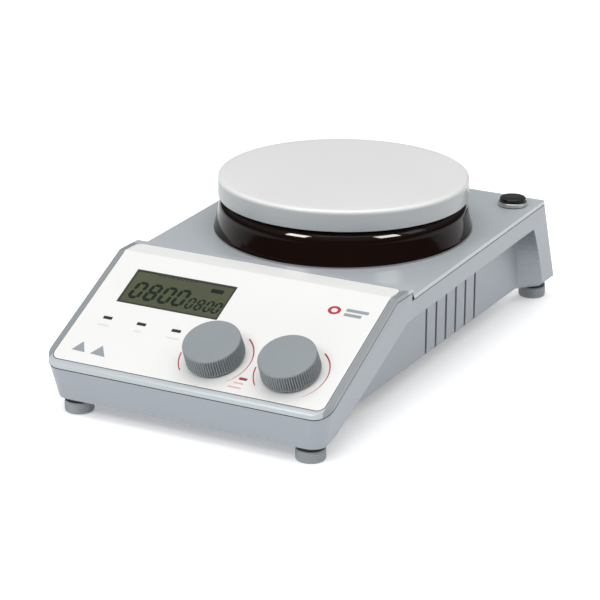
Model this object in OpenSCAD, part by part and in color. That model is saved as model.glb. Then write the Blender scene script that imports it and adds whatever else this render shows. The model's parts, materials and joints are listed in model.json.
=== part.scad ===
// Heated magnetic stirrer: round ceramic-faced work plate on a dark skirt, over a two-part
// housing with a sloping control console, four feet and a rear connector bay.
// Millimetres. Origin: centre of the footprint on the bench, +Z up, the console faces -Y.

/* [Body] */
// Overall width
body_w = 161; // [150:1:175]
// Distance from the footprint centre to the front and rear ends
body_half_d = 146; // [144:1:148]
// Height of the platform top under the plate's axis
platform_z = 62.35; // [60:0.05:65]
// Rise of the platform towards the rear, in degrees
platform_tilt = 1.28; // [0:0.01:1.6]
// Height of the cover's edge above the seam
cover_t = 2.4; // [2:0.1:3]
// Wall of the lower housing
wall = 2.5; // [2:0.1:3]
// Height of the underside above the bench
floor_z = 8.8; // [8:0.1:10]
// Half-width of the recessed side walls
core_half_w = 66; // [65:0.5:68]

/* [Console] */
// Height of the console's flat rear strip
console_z = 64.7; // [64:0.1:66]
// Slope of the control panel, in degrees
panel_angle = 25.6; // [24:0.1:26]
// Half-width of the white control panel
panel_half_w = 76.9; // [74:0.1:77]
// Length of the sloping part of the control panel
panel_len = 81.4; // [79:0.1:82]

/* [Work plate] */
// Diameter of the work plate
plate_d = 135; // [130:1:137]
// Height of the plate's top
plate_top_z = 91.8; // [90:0.1:93]
// Height of the plate's rim
plate_rim_h = 11.5; // [10:0.1:12]
// Thickness of the plate
plate_t = 6; // [5:0.5:7]
// Distance of the plate's axis behind the footprint centre
plate_y = 29; // [28:0.5:30]

/* [Controls] */
// Diameter of a knob
knob_d = 30.4; // [28:0.2:32]
// Height of a knob
knob_h = 10.2; // [9:0.1:11]
// Width of the display window
display_w = 58.8; // [50:0.2:60]
// Height of the display window
display_h = 24.6; // [20:0.2:26]

/* [Feet] */
// Diameter of a foot
foot_d = 15.2; // [14:0.1:16]
// Height of a foot's ribbed part
foot_h = 6.2; // [5.5:0.1:6.6]
// Half the distance between the left and right feet
foot_x = 66.15; // [64:0.05:67]

/* [Rod socket] */
// Distance of the socket from the middle plane
rod_x = 67.7; // [67:0.1:68.5]
// Distance of the socket behind the footprint centre
rod_y = 102.4; // [100:0.1:103]
// Radius of the threaded hole's wall
rod_hole_r = 4.25; // [4:0.05:4.4]

/* [Hidden] */
$fn = 96;

eps = 0.01;
half_w = body_w / 2;
rear_top_y = 117.5;
step_y = -50;
step_run = 2.2;
slant_y = -70;
front_lip_z = 25.2;
nose_z = 28.2;
nose_run = 1.6;
nose_drop = 0.8;
corner_r = 9;
rear_corner_r = 1;

bottom_half_w = 75.8;
bottom_front_y = -143.8;
bottom_r = 8;
apron_z = 48.8;
apron_t = 2.6;
floor_t = 2.4;
floor_top = floor_z + floor_t;
cavity_half_w = core_half_w - wall;

leg_inner_x = 58;
bay_y = 118;
recess_front_low = [76, -128];
recess_inner_low_y = -92;
foot_chamfer = 2.2;
recess_front_high = [80.5, -57];
recess_inner_high_y = -36;
leg_edge_low = [75.5, 128.5];
leg_inner_low_y = 117.5;
leg_edge_high = [80.5, 105];
leg_inner_high_y = 113.5;
beyond = 96;

window_half_w = 50;
window_z = [16, 52];
panel_screw_x = 54;
panel_screw_z = [17, 53];

slot_count = 6;
slot_pitch = 12.3;
slot_first_y = -3.8;
slot_w = 2.3;
slot_low_z = floor_z - 1;
slot_high_z = apron_z - 3;

panel_proud = 0.2;
panel_sink = 0.8;
panel_rear_y = -57;
panel_r = 4;
knob_x = [8, 50.2];
knob_s = 60.4;
knob_gap = 1.2;
knob_flutes = 72;
flute_depth = 0.35;
encoder_h = 6.4;
shaft_r = 3;
display_x = -33.5;
display_s = 24;
indicator_x = [-61.2, -41.3, -21];
indicator_s = 48.5;
push_mark_x = 28.5;
push_mark_s = 70.9;
board_h = -13;
inner_h = -3;
board_t = 1.6;
board_top = board_h + board_t;

plate_r = plate_d / 2;
rim_z = plate_top_z - plate_rim_h;
rim_t = 4.5;
edge_r = 1.8;
plate_under_z = plate_top_z - plate_t;
element_t = 2.4;
insulation_t = 2.2;
shield_t = 1;
element_z = plate_under_z - element_t;
insulation_z = element_z - insulation_t;
shield_z = insulation_z - shield_t;
shield_r = 60;
deck_hole_r = 57;
standoff_r = 4;
standoff_pcr = 50;
skirt_r = 66.5;
skirt_foot_r = 70.5;
skirt_t = 1.4;
skirt_foot_gap = 0.9;

chassis_z = 50;
chassis_t = 1.5;
chassis_half_w = 58;
chassis_front_y = -11;
chassis_rear_y = 69;
chassis_post_r = 3.5;
chassis_post_x = 50;
chassis_post_y = [-4, 62];
motor_r = 26;
motor_low_z = 20;
motor_wall = 1.5;
shaft_d = 6;
shaft_top_z = 67;
bearing_r = 8;
bearing_t = 4;
carrier_z = 62;
carrier_t = 5;
carrier_r = 31;
hub_r = 7;
hub_z = 57;
magnet_r = 9;
magnet_t = 8;
magnet_x = 20;

power_board_z = 17.5;
power_board_x = 54;
power_board_y = [-82, -14];
lead_x = 6;
lead_y = -17;
lead_r = 1.2;

foot_front_y = -134.4;
foot_rear_y = 138.4;
foot_neck_r = 7.4;
foot_groove = 0.35;
foot_spots = [
    [-foot_x, foot_front_y], [foot_x, foot_front_y],
    [-foot_x, foot_rear_y], [foot_x, foot_rear_y]
];
case_screw_spots = [[-59, -64], [59, -64], [-59, 84], [59, 84]];
case_post_r = 4;
case_screw_len = 8;
tab_spots = [[-48, -106], [48, -106], [-48, 98], [48, 98]];
bottom_plate_t = 1.2;

rod_boss_r = 8;
rod_boss_h = 2.4;
rod_neck_r = 6.2;
rod_depth = 10.1;
rod_floor = 2;
rod_groove_r = [5.6, 7];
rod_groove_depth = 1.2;
rod_cap_r = 7.25;
rod_cap_h = 2.2;

rear_panel_t = 1.6;
rear_panel_z = [floor_z + 4, 57.5];
rear_panel_face = bay_y + rear_panel_t;

inlet_x = -34;
inlet_z = 34;
inlet_depth = 24;
inlet_body = [13.5, 16];
inlet_flange = [16, 18];
inlet_flange_y = bay_y + 4;
inlet_gap = 0.2;
pin_spots = [[-7, 2.5], [7, 2.5], [0, 6.5]];
switch_x = 0;
switch_z = 36;
switch_body = [6.5, 10];
switch_flange = [7.5, 11];
switch_well = [5.4, 9];
switch_angle = 9;
sensor_x = 26;
sensor_z = 42;
sensor_r = 7.4;
sensor_flange_r = 9;
sensor_len = 13.6;
sensor_rear_y = bay_y + rear_panel_t - sensor_len;
port_x = 34;
port_z = 24;
port_hole = [12.2, 5.7];
drawer_w = 22;
drawer_h = 7;
drawer_z = inlet_z - 11;
drawer_len = 21;
drawer_front = 1.5;

function platform_at(y) = platform_z + (y - plate_y) * tan(platform_tilt);
function panel_at(y) = console_z + (y - slant_y) * tan(panel_angle);
function side_at(z) = bottom_half_w
    + (half_w - bottom_half_w) * (z - floor_z) / (console_z - cover_t - floor_z);
function cover_under(y) = (y > step_y ? platform_at(y) : console_z) - cover_t;
function board_under(y) = panel_at(y) + board_h / cos(panel_angle);
function arc(c, r, a0, a1, n = 8) =
    [for (i = [0:n]) c + r * [cos(a0 + (a1 - a0) * i / n), sin(a0 + (a1 - a0) * i / n)]];

// Top line of the cover in Y and Z, from the rear edge to the nose, lowered by d.
function cover_line(d, front) = [
    [rear_top_y, platform_at(rear_top_y) - d],
    [step_y, platform_at(step_y) - d],
    [step_y - step_run, console_z - d],
    [slant_y, console_z - d],
    [front, panel_at(front) - d]
];

// Places children on the sloping panel: x across, s down the slope, h out of the surface.
module on_panel(x = 0, s = 0, h = 0) {
    translate([0, slant_y, console_z])
        rotate([panel_angle, 0, 0])
            translate([x, -s, h])
                children();
}

// Extrudes a Y-Z outline across the width from -half to half.
module across(half) {
    translate([-half, 0, 0])
        rotate([90, 0, 90])
            linear_extrude(2 * half)
                children();
}

// Box from its low corner to its high corner.
module block(low, high) {
    translate(low)
        cube(high - low);
}

// Plan outline of the cover: round front corners, small rear corners.
module cover_plan(inset = 0) {
    r = corner_r - inset;
    x = half_w - inset;
    y0 = -body_half_d + inset;
    y1 = rear_top_y - inset;
    polygon(concat(
        arc([-x + r, y0 + r], r, 180, 270),
        arc([x - r, y0 + r], r, 270, 360),
        arc([x - rear_corner_r, y1 - rear_corner_r], rear_corner_r, 0, 90, 3),
        arc([-x + rear_corner_r, y1 - rear_corner_r], rear_corner_r, 90, 180, 3)));
}

module each_spot(spots, z = 0) {
    for (p = spots)
        translate([p[0], p[1], z])
            children();
}

// Cover -----------------------------------------------------------------------------

module cover_profile() {
    top = cover_line(0, -body_half_d + nose_run);
    low = cover_line(cover_t, -body_half_d);
    nose = [
        [-body_half_d + nose_run / 3, panel_at(-body_half_d + nose_run) - nose_drop],
        [-body_half_d, nose_z - nose_drop],
        [-body_half_d, front_lip_z]
    ];
    polygon(concat(top, nose, [for (i = [3:-1:0]) low[i]]));
}

module panel_outline(half, s0, s1, r) {
    polygon(concat(
        arc([-half + r, -s1 + r], r, 180, 270),
        arc([half - r, -s1 + r], r, 270, 360),
        arc([half - r, s0 - r], r, 0, 90),
        arc([-half + r, s0 - r], r, 90, 180)));
}

// Strip that follows the console's top, between two depths, inside the panel's plan.
module console_strip(high, low, grow = 0) {
    plan_len = panel_len * cos(panel_angle);
    front = slant_y - plan_len - grow;
    rear = panel_rear_y + grow;
    intersection() {
        across(panel_half_w + grow)
            polygon([
                [rear, console_z + high], [slant_y, console_z + high],
                [front, panel_at(front) + high], [front, panel_at(front) + low],
                [slant_y, console_z + low], [rear, console_z + low]
            ]);
        translate([0, slant_y, 0])
            linear_extrude(beyond)
                panel_outline(panel_half_w + grow, panel_rear_y + grow - slant_y,
                    plan_len + grow, panel_r);
    }
}

module panel_openings(high) {
    on_panel(display_x, display_s, -high)
        translate([-display_w / 2, -display_h / 2, 0])
            cube([display_w, display_h, 2 * high]);
    for (x = indicator_x)
        on_panel(x, indicator_s, -high)
            translate([-2.6, -1, 0])
                cube([5.2, 2, 2 * high]);
    on_panel(push_mark_x, push_mark_s, -high)
        translate([-2.2, -0.8, 0])
            cube([4.4, 1.6, 2 * high]);
    for (x = knob_x)
        on_panel(x, knob_s, -high)
            cylinder(r = 4.1, h = 2 * high);
}

module upper_cover() {
    color("#B2BABF") {
        difference() {
            intersection() {
                across(half_w)
                    cover_profile();
                linear_extrude(beyond)
                    cover_plan();
            }
            console_strip(5, -panel_sink, 0.15);
            panel_openings(4);
            translate([0, plate_y, platform_z - 10])
                cylinder(r = deck_hole_r, h = 20);
            translate([rod_x, rod_y, platform_z - 10])
                cylinder(r = rod_neck_r + 0.1, h = 20);
        }
        for (p = case_screw_spots)
            case_post(p);
    }
}

// Screw post hanging under the cover, with a blind pilot hole.
module case_post(p) {
    translate([p[0], p[1], floor_top])
        difference() {
            cylinder(r = case_post_r, h = cover_under(p[1]) - floor_top + 0.4);
            translate([0, 0, -eps])
                cylinder(r = 1.45, h = 12);
        }
}

// Housing ---------------------------------------------------------------------------

// Convex front block under the console: full width at the seam, drafted to the underside.
module front_block(inset, low_z, lift) {
    hull() {
        translate([0, 0, low_z])
            linear_extrude(eps)
                polygon(concat(
                    arc([-bottom_half_w + inset + bottom_r, bottom_front_y + inset + bottom_r],
                        bottom_r, 180, 270),
                    arc([bottom_half_w - inset - bottom_r, bottom_front_y + inset + bottom_r],
                        bottom_r, 270, 360),
                    [[bottom_half_w - inset, step_y], [-bottom_half_w + inset, step_y]]));
        intersection() {
            linear_extrude(beyond)
                cover_plan(inset);
            across(half_w)
                polygon([
                    [-body_half_d, front_lip_z + lift - eps], [-body_half_d, front_lip_z + lift],
                    [slant_y, console_z - cover_t + lift],
                    [step_y - step_run, console_z - cover_t + lift],
                    [step_y - step_run, console_z - cover_t + lift - eps],
                    [slant_y, console_z - cover_t + lift - eps]
                ]);
        }
    }
}

// Deck, recessed core and rear legs as one drafted block.
module rear_block() {
    intersection() {
        across(half_w)
            polygon([
                [step_y - 45, floor_z], [body_half_d - foot_chamfer, floor_z],
                [body_half_d, floor_z + foot_chamfer],
                [rear_top_y, platform_at(rear_top_y) - cover_t],
                [step_y - eps, platform_at(step_y) - cover_t],
                [step_y - 45, platform_at(step_y) - 20]
            ]);
        translate([0, body_half_d + 1, 0])
            rotate([90, 0, 0])
                linear_extrude(2 * body_half_d)
                    polygon([
                        [foot_chamfer - bottom_half_w, floor_z],
                        [bottom_half_w - foot_chamfer, floor_z],
                        [side_at(floor_z + foot_chamfer), floor_z + foot_chamfer],
                        [half_w, console_z - cover_t], [half_w, beyond],
                        [-half_w, beyond], [-half_w, console_z - cover_t],
                        [-side_at(floor_z + foot_chamfer), floor_z + foot_chamfer]
                    ]);
    }
}

// Plan of a side recess: inner wall from y0 to y1, widening outwards through two edge points.
function recess_plan(front_edge, y0, y1, rear_edge, grow) =
    let (
        inner = core_half_w - grow,
        front_slope = (y0 - front_edge[1]) / (front_edge[0] - core_half_w),
        rear_slope = (rear_edge[1] - y1) / (rear_edge[0] - core_half_w),
        outer = half_w + 1.5,
        out = outer - inner
    ) [
        [inner, y0 - grow], [outer, y0 - grow - front_slope * out],
        [outer, y1 + grow + rear_slope * out], [inner, y1 + grow]
    ];

// Closed solid through outlines of points in space, from the lowest outline to the highest.
module loft(outlines) {
    n = len(outlines[0]);
    top = (len(outlines) - 1) * n;
    sides = [for (i = [0:len(outlines) - 2], k = [0:n - 1])
        let (a = i * n + k, b = i * n + (k + 1) % n)
            each [[a, a + n, b + n], [a, b + n, b]]];
    polyhedron(
        [for (outline = outlines) each outline],
        concat([[for (k = [0:n - 1]) k]], sides, [[for (k = [n - 1:-1:0]) top + k]]));
}

// Space under the apron on one side: from the blend behind the console to the rear leg. Its
// roof follows the platform, and its foot is chamfered.
module side_recess(grow = 0) {
    levels = 12;
    foot = recess_plan(recess_front_low, recess_inner_low_y, leg_inner_low_y,
        leg_edge_low, grow + foot_chamfer);
    low = recess_plan(recess_front_low, recess_inner_low_y, leg_inner_low_y,
        leg_edge_low, grow);
    high = recess_plan(recess_front_high, recess_inner_high_y, leg_inner_high_y,
        leg_edge_high, grow);
    loft(concat(
        [for (z = [floor_z - 5, floor_z]) [for (p = foot) [p[0], p[1], z]]],
        [for (i = [0:levels])
            [for (k = [0:3])
                let (
                    t = i / levels,
                    q = low[k] * (1 - t) + high[k] * t,
                    roof = apron_z + grow + (q[1] - plate_y) * tan(platform_tilt)
                ) [q[0], q[1], (floor_z + foot_chamfer) * (1 - t) + roof * t]]]));
}

module lower_housing() {
    color("#A3ABB2") {
        difference() {
            union() {
                front_block(0, floor_z, 0);
                rear_block();
            }
            side_recess();
            mirror([1, 0, 0])
                side_recess();
            difference() {
                front_block(wall, floor_top, 0.5);
                side_recess(wall);
                mirror([1, 0, 0])
                    side_recess(wall);
            }
            housing_cavity();
            rear_bay();
            side_slots();
            bottom_opening();
            each_spot(concat(foot_spots, case_screw_spots), floor_z - eps)
                cylinder(r = 1.6, h = 8);
            translate([rod_x, rod_y, platform_z - rod_depth - 0.1])
                cylinder(r = rod_neck_r + 0.1, h = 20);
        }
        each_spot(tab_spots, floor_z + bottom_plate_t + 0.05)
            screw_tab();
    }
}

// Corner tab that the bottom plate is screwed to.
module screw_tab() {
    difference() {
        translate([-7, -7, 0])
            cube([14, 14, 3]);
        translate([0, 0, -eps])
            cylinder(r = 1.45, h = 5);
    }
}

module housing_cavity() {
    block([-cavity_half_w, -92, floor_top], [cavity_half_w, bay_y - wall, beyond]);
    translate([0, plate_y, apron_z + apron_t])
        rotate([platform_tilt, 0, 0])
            translate([0, -plate_y, 0])
                block([-half_w + wall, step_y, 0], [half_w - wall, 112, beyond]);
}

// Bay for the connectors between the rear legs, with the window behind the rear panel.
module rear_bay() {
    block([-leg_inner_x, bay_y, 0], [leg_inner_x, body_half_d + 2, beyond]);
    block([-window_half_w, bay_y - wall - 1, window_z[0]],
        [window_half_w, bay_y + 1, window_z[1]]);
    each_panel_screw(bay_y - wall - 1)
        cylinder(r = 1.35, h = 5);
}

module each_panel_screw(y) {
    for (x = [-panel_screw_x, panel_screw_x], z = panel_screw_z)
        translate([x, y, z])
            rotate([-90, 0, 0])
                children();
}

module side_slots() {
    for (i = [0:slot_count - 1], side = [-1, 1]) {
        y = slot_first_y + i * slot_pitch;
        x = side * (core_half_w - wall / 2);
        block([x - wall, y - slot_w / 2, slot_low_z], [x + wall, y + slot_w / 2, slot_high_z]);
    }
}

module bottom_opening() {
    block([-54, -112, floor_z - 1], [54, 104, floor_top + 1]);
}

module bottom_plate() {
    color("#9AA1A6")
        difference() {
            block([-53.7, -111.7, floor_z], [53.7, 103.7, floor_z + bottom_plate_t]);
            each_spot(tab_spots, floor_z - 1)
                cylinder(r = 1.7, h = 4);
            for (x = [-40:10:40], y = [-40, 92])
                block([x - 1.5, y - 14, floor_z - 1], [x + 1.5, y - 2, floor_z + 3]);
        }
}

// Pan-head screw: head below z = 0, shank above.
module screw(head_r, head_h, shank_r, shank_h) {
    difference() {
        translate([0, 0, -head_h])
            cylinder(r = head_r, h = head_h);
        for (a = [0, 90])
            rotate([0, 0, a])
                translate([-head_r * 0.6, -0.35, -head_h - eps])
                    cube([head_r * 1.2, 0.7, head_h * 0.5]);
    }
    cylinder(r = shank_r, h = shank_h);
}

module bottom_screws() {
    color("#C8CBCD")
        each_spot(tab_spots, floor_z)
            screw(2.8, 1.4, 1.4, 4);
}

module case_screws() {
    color("#C8CBCD")
        each_spot(case_screw_spots, floor_z)
            screw(2.8, 1.4, 1.4, case_screw_len);
}

// Feet ------------------------------------------------------------------------------

module feet() {
    r = foot_d / 2;
    pitch = foot_h / 8;
    color("#8F979C")
        each_spot(foot_spots)
            difference() {
                rotate_extrude()
                    polygon(concat(
                        [[0, 0], [r - 0.6, 0], [r, 0.6]],
                        [for (i = [1:6]) each [
                            [r, i * pitch], [r - foot_groove, i * pitch + 0.2],
                            [r, i * pitch + 0.4]
                        ]],
                        [[r, foot_h - 0.4], [r - 0.4, foot_h], [0, foot_h]]));
                translate([0, 0, -eps])
                    cylinder(r = 3.2, h = 2.4 + eps);
                cylinder(r = 1.6, h = foot_h + 1);
            }
}

module foot_necks() {
    color("#1C1D1F")
        each_spot(foot_spots, foot_h)
            difference() {
                cylinder(r = foot_neck_r, h = floor_z - foot_h);
                translate([0, 0, -1])
                    cylinder(r = 1.6, h = floor_z);
            }
}

module foot_screws() {
    color("#C8CBCD")
        each_spot(foot_spots, 2.4)
            screw(3, 1.6, 1.5, floor_z + 4);
}

// Console ---------------------------------------------------------------------------

module control_panel() {
    color("#F3F3F1")
        difference() {
            console_strip(panel_proud, -panel_sink);
            panel_openings(4);
        }
}

module display_window() {
    gap = 0.1;
    color("#56664A")
        on_panel(display_x, display_s, -1)
            translate([-display_w / 2 + gap, -display_h / 2 + gap, 0])
                cube([display_w - 2 * gap, display_h - 2 * gap, 0.9]);
}

module display_module() {
    color("#2A2E2B") {
        on_panel(display_x, display_s, -7)
            translate([-display_w / 2 - 2, -display_h / 2 - 2, 0])
                cube([display_w + 4, display_h + 4, 4.2]);
        on_panel(display_x, display_s, -2.8)
            translate([-display_w / 2 + 0.5, -display_h / 2 + 0.5, 0])
                cube([display_w - 1, display_h - 1, 1.8]);
    }
}

module indicator_windows() {
    color("#161616") {
        for (x = indicator_x)
            on_panel(x, indicator_s, -2.6)
                translate([-2.5, -0.9, 0])
                    cube([5, 1.8, 2.8]);
        on_panel(push_mark_x, push_mark_s, -2.6)
            translate([-2.1, -0.7, 0])
                cube([4.2, 1.4, 2.8]);
    }
}

module control_board() {
    color("#2E6B45")
        difference() {
            on_panel(0, 37, board_h)
                translate([-66, -37, 0])
                    cube([132, 74, board_t]);
            each_spot(case_screw_spots)
                cylinder(r = case_post_r + 0.5, h = beyond);
        }
}

module control_board_posts() {
    color("#C9B67A")
        for (p = [[-50, 5], [50, 5], [-62, 68], [62, 68]])
            on_panel(p[0], p[1], board_top)
                cylinder(r = 2.2, h = inner_h - board_top);
}

// Encoder parts: square body on the board, threaded bushing through the cover, nut on top.
module encoder_bodies() {
    color("#3B3F42")
        for (x = knob_x)
            on_panel(x, knob_s, board_top)
                difference() {
                    translate([-6.5, -6.5, 0])
                        cube([13, 13, encoder_h]);
                    translate([0, 0, -eps])
                        cylinder(r = 4.6, h = encoder_h - 1.5);
                    cylinder(r = shaft_r + 0.35, h = 8);
                }
}

module encoder_bushings() {
    color("#BFC2C4")
        for (x = knob_x)
            on_panel(x, knob_s, board_top + encoder_h)
                difference() {
                    union() {
                        cylinder(r = 5.2, h = inner_h - board_top - encoder_h);
                        cylinder(r = 3.9, h = 0.9 - board_top - encoder_h);
                    }
                    translate([0, 0, -1])
                        cylinder(r = shaft_r + 0.05, h = 14);
                }
}

module encoder_nuts() {
    color("#BFC2C4")
        for (x = knob_x)
            on_panel(x, knob_s, 0.3)
                difference() {
                    cylinder(r = 5.6, h = 0.8, $fn = 6);
                    translate([0, 0, -1])
                        cylinder(r = 3.92, h = 3);
                }
}

// Push switch plunger inside an encoder body: follows the knob's push, doesn't turn.
module plunger(x) {
    color("#D8D3C4")
        on_panel(x, knob_s, board_top + 1.2)
            difference() {
                cylinder(r = 4.2, h = 2.2);
                translate([0, 0, 0.8])
                    cylinder(r = 1.55, h = 3);
            }
}

module heat_plunger() {
    plunger(knob_x[0]);
}

module speed_plunger() {
    plunger(knob_x[1]);
}

module shaft(x) {
    low = board_top + 3.5;
    color("#B9BDC0")
        on_panel(x, knob_s, 0)
            difference() {
                union() {
                    translate([0, 0, low])
                        cylinder(r = shaft_r, h = knob_h - 1.5 - low);
                    translate([0, 0, low - 1.4])
                        cylinder(r = 1.5, h = 1.5);
                }
                translate([shaft_r - 1.5, -shaft_r, 3])
                    cube([3, 2 * shaft_r, knob_h]);
            }
}

module heat_shaft() {
    shaft(knob_x[0]);
}

module speed_shaft() {
    shaft(knob_x[1]);
}

// Knob: fluted side, flat top with a soft edge, hollow below, D-shaped bore.
module knob(x) {
    r = knob_d / 2;
    edge = 1.2;
    teeth = [for (i = [0:2 * knob_flutes - 1])
        (r - (i % 2) * flute_depth) * [cos(i * 180 / knob_flutes), sin(i * 180 / knob_flutes)]];
    color("#909A9F")
        on_panel(x, knob_s, knob_gap)
            difference() {
                union() {
                    linear_extrude(knob_h - edge)
                        polygon(teeth);
                    rotate_extrude()
                        polygon(concat(
                            [[0, 1], [r - 2 * flute_depth, 1]],
                            arc([r - 2 * flute_depth - edge, knob_h - edge], edge, 0, 90, 5),
                            [[0, knob_h]]));
                }
                knob_hollow(r);
            }
}

// Space under a knob: ring hollow, recess over the nut and the D-shaped bore.
module knob_hollow(r) {
    difference() {
        translate([0, 0, -1])
            cylinder(r = r - 2.4, h = 8);
        translate([0, 0, -2])
            cylinder(r = 5.2, h = 10);
    }
    translate([0, 0, -1])
        cylinder(r = 6.4, h = 2.6);
    difference() {
        translate([0, 0, -1])
            cylinder(r = shaft_r + 0.02, h = knob_h - 1.6);
        translate([shaft_r - 1.48, -5, 1.9])
            cube([5, 10, 10]);
    }
}

module heat_knob() {
    knob(knob_x[0]);
}

module speed_knob() {
    knob(knob_x[1]);
}

// Work plate and heater ----------------------------------------------------------------

module at_plate(z = 0) {
    translate([0, plate_y, z])
        children();
}

// Half-space above the tilted platform, raised by gap, as a large block.
module above_platform(gap) {
    at_plate(platform_z + gap)
        rotate([platform_tilt, 0, 0])
            translate([-100, -100, 0])
                cube([200, 200, 60]);
}

module work_plate() {
    color("#E9EAEA")
        at_plate()
            rotate_extrude($fn = 180)
                polygon(concat(
                    [[0, plate_under_z], [plate_r - rim_t, plate_under_z],
                        [plate_r - rim_t, rim_z], [plate_r - 0.5, rim_z], [plate_r, rim_z + 0.5]],
                    arc([plate_r - edge_r, plate_top_z - edge_r], edge_r, 0, 90, 6),
                    [[0, plate_top_z]]));
}

module ring(r1, r0, z, t) {
    at_plate(z)
        difference() {
            cylinder(r = r1, h = t);
            translate([0, 0, -1])
                cylinder(r = r0, h = t + 2);
        }
}

module heating_element() {
    color("#8C8378")
        ring(56, 24, element_z, element_t);
}

module lead_holes(z) {
    for (x = [-lead_x, lead_x])
        translate([x, lead_y, z - 1])
            cylinder(r = lead_r + 0.4, h = 8);
}

module insulation_disc() {
    color("#D9D2C0")
        difference() {
            ring(shield_r, 3.5, insulation_z, insulation_t);
            lead_holes(insulation_z);
        }
}

module heat_shield() {
    color("#B4B8BA")
        difference() {
            ring(shield_r, 3.5, shield_z, shield_t);
            lead_holes(shield_z);
        }
}

module plate_standoffs() {
    color("#C4C7C9")
        for (a = [45:90:315])
            at_plate(chassis_z + chassis_t)
                rotate([0, 0, a])
                    translate([standoff_pcr, 0, 0])
                        cylinder(r = standoff_r, h = shield_z - chassis_z - chassis_t);
}

module temperature_sensor() {
    color("#C9A24A")
        at_plate(plate_under_z - 7)
            cylinder(r = 2.6, h = 7);
}

module heater_leads() {
    color("#D6D2C4")
        for (x = [-lead_x, lead_x])
            translate([x, lead_y, power_board_z + board_t])
                cylinder(r = lead_r, h = element_z - power_board_z - board_t);
}

function skirt_radius(t) = skirt_r + (skirt_foot_r - skirt_r) * pow(1 - t, 2);

// Dark drum under the plate: flared foot cut to the slope of the platform.
module heater_skirt() {
    low = platform_z - 3;
    n = 12;
    color("#170B09")
        intersection() {
            at_plate()
                rotate_extrude($fn = 180)
                    polygon(concat(
                        [for (i = [0:n])
                            [skirt_radius(i / n), low + (rim_z - 0.4 - low) * i / n]],
                        [for (i = [n:-1:0])
                            [skirt_radius(i / n) - skirt_t, low + (rim_z - 0.4 - low) * i / n]]));
            above_platform(skirt_foot_gap + 0.02);
        }
}

module skirt_seat_ring() {
    color("#7C8083")
        at_plate(platform_z)
            rotate([platform_tilt, 0, 0])
                difference() {
                    cylinder(r = skirt_foot_r - 0.6, h = skirt_foot_gap, $fn = 180);
                    translate([0, 0, -1])
                        cylinder(r = skirt_r - 3, h = skirt_foot_gap + 2, $fn = 180);
                }
}

// Chassis and drive ---------------------------------------------------------------------

module chassis_plate() {
    color("#A9ADB0")
        difference() {
            block([-chassis_half_w, chassis_front_y, chassis_z],
                [chassis_half_w, chassis_rear_y, chassis_z + chassis_t]);
            at_plate(chassis_z - 1)
                cylinder(r = bearing_r + 0.5, h = 4);
            for (x = [-chassis_post_x, chassis_post_x], y = chassis_post_y)
                translate([x, y, chassis_z - 1])
                    cylinder(r = 1.6, h = 4);
        }
}

module chassis_posts() {
    color("#C4C7C9")
        for (x = [-chassis_post_x, chassis_post_x], y = chassis_post_y)
            translate([x, y, floor_z + bottom_plate_t])
                cylinder(r = chassis_post_r, h = chassis_z - floor_z - bottom_plate_t);
}

module motor_housing() {
    color("#6E7478")
        at_plate(motor_low_z)
            difference() {
                cylinder(r = motor_r, h = chassis_z - motor_low_z);
                translate([0, 0, motor_wall])
                    cylinder(r = motor_r - motor_wall, h = chassis_z - motor_low_z - 2 * motor_wall);
                translate([0, 0, -1])
                    cylinder(r = bearing_r, h = chassis_z - motor_low_z + 2);
            }
}

module motor_bearings() {
    color("#C3C6C8")
        for (z = [motor_low_z, chassis_z - bearing_t])
            ring(bearing_r, shaft_d / 2 + 0.05, z, bearing_t);
}

module motor_stator() {
    color("#9C5B33")
        at_plate(motor_low_z + 6)
            difference() {
                cylinder(r = motor_r - motor_wall - 0.5, h = 18);
                translate([0, 0, -1])
                    cylinder(r = 14.5, h = 20);
                for (i = [0:5])
                    rotate([0, 0, i * 60])
                        translate([10, -1.2, -1])
                            cube([11, 2.4, 20]);
            }
}

module motor_shaft() {
    color("#C3C6C8")
        at_plate(motor_low_z - 2)
            cylinder(r = shaft_d / 2, h = shaft_top_z - motor_low_z + 2);
}

module motor_rotor() {
    color("#4A4D50")
        ring(13.5, shaft_d / 2, motor_low_z + 6, 18);
}

module magnet_carrier() {
    color("#B9BDC0")
        difference() {
            union() {
                at_plate(carrier_z)
                    intersection() {
                        cylinder(r = carrier_r, h = carrier_t);
                        translate([-carrier_r, -12, 0])
                            cube([2 * carrier_r, 24, carrier_t]);
                    }
                at_plate(hub_z)
                    cylinder(r = hub_r, h = carrier_z - hub_z + carrier_t);
            }
            at_plate(hub_z - 1)
                cylinder(r = shaft_d / 2, h = 20);
        }
}

module drive_magnets() {
    color("#3F4245")
        for (x = [-magnet_x, magnet_x])
            translate([x, plate_y, carrier_z + carrier_t])
                cylinder(r = magnet_r, h = magnet_t);
}

// Electronics ---------------------------------------------------------------------------

module power_board() {
    color("#2E6B45") {
        block([-power_board_x, power_board_y[0], power_board_z],
            [power_board_x, power_board_y[1], power_board_z + board_t]);
        for (x = [-48, 48], y = [power_board_y[0] + 8, power_board_y[1] - 8])
            translate([x, y, floor_z + bottom_plate_t])
                cylinder(r = 2.5, h = power_board_z - floor_z - bottom_plate_t);
    }
}

module transformer() {
    z = power_board_z + board_t;
    color("#3E3A36") {
        block([-44, -58, z], [-14, -24, z + 22]);
        block([-40, -62, z + 4], [-18, -20, z + 18]);
    }
}

module heat_sink() {
    z = power_board_z + board_t;
    color("#A5A9AC") {
        block([20, -60, z], [44, -56, z + 22]);
        for (i = [0:4])
            block([21 + i * 5, -56, z + 2], [22.4 + i * 5, -40, z + 22]);
    }
}

module capacitors() {
    color("#26384F")
        for (p = [[0, -30], [0, -44], [30, -26]])
            translate([p[0], p[1], power_board_z + board_t])
                cylinder(r = 5.5, h = 16);
}

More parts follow.
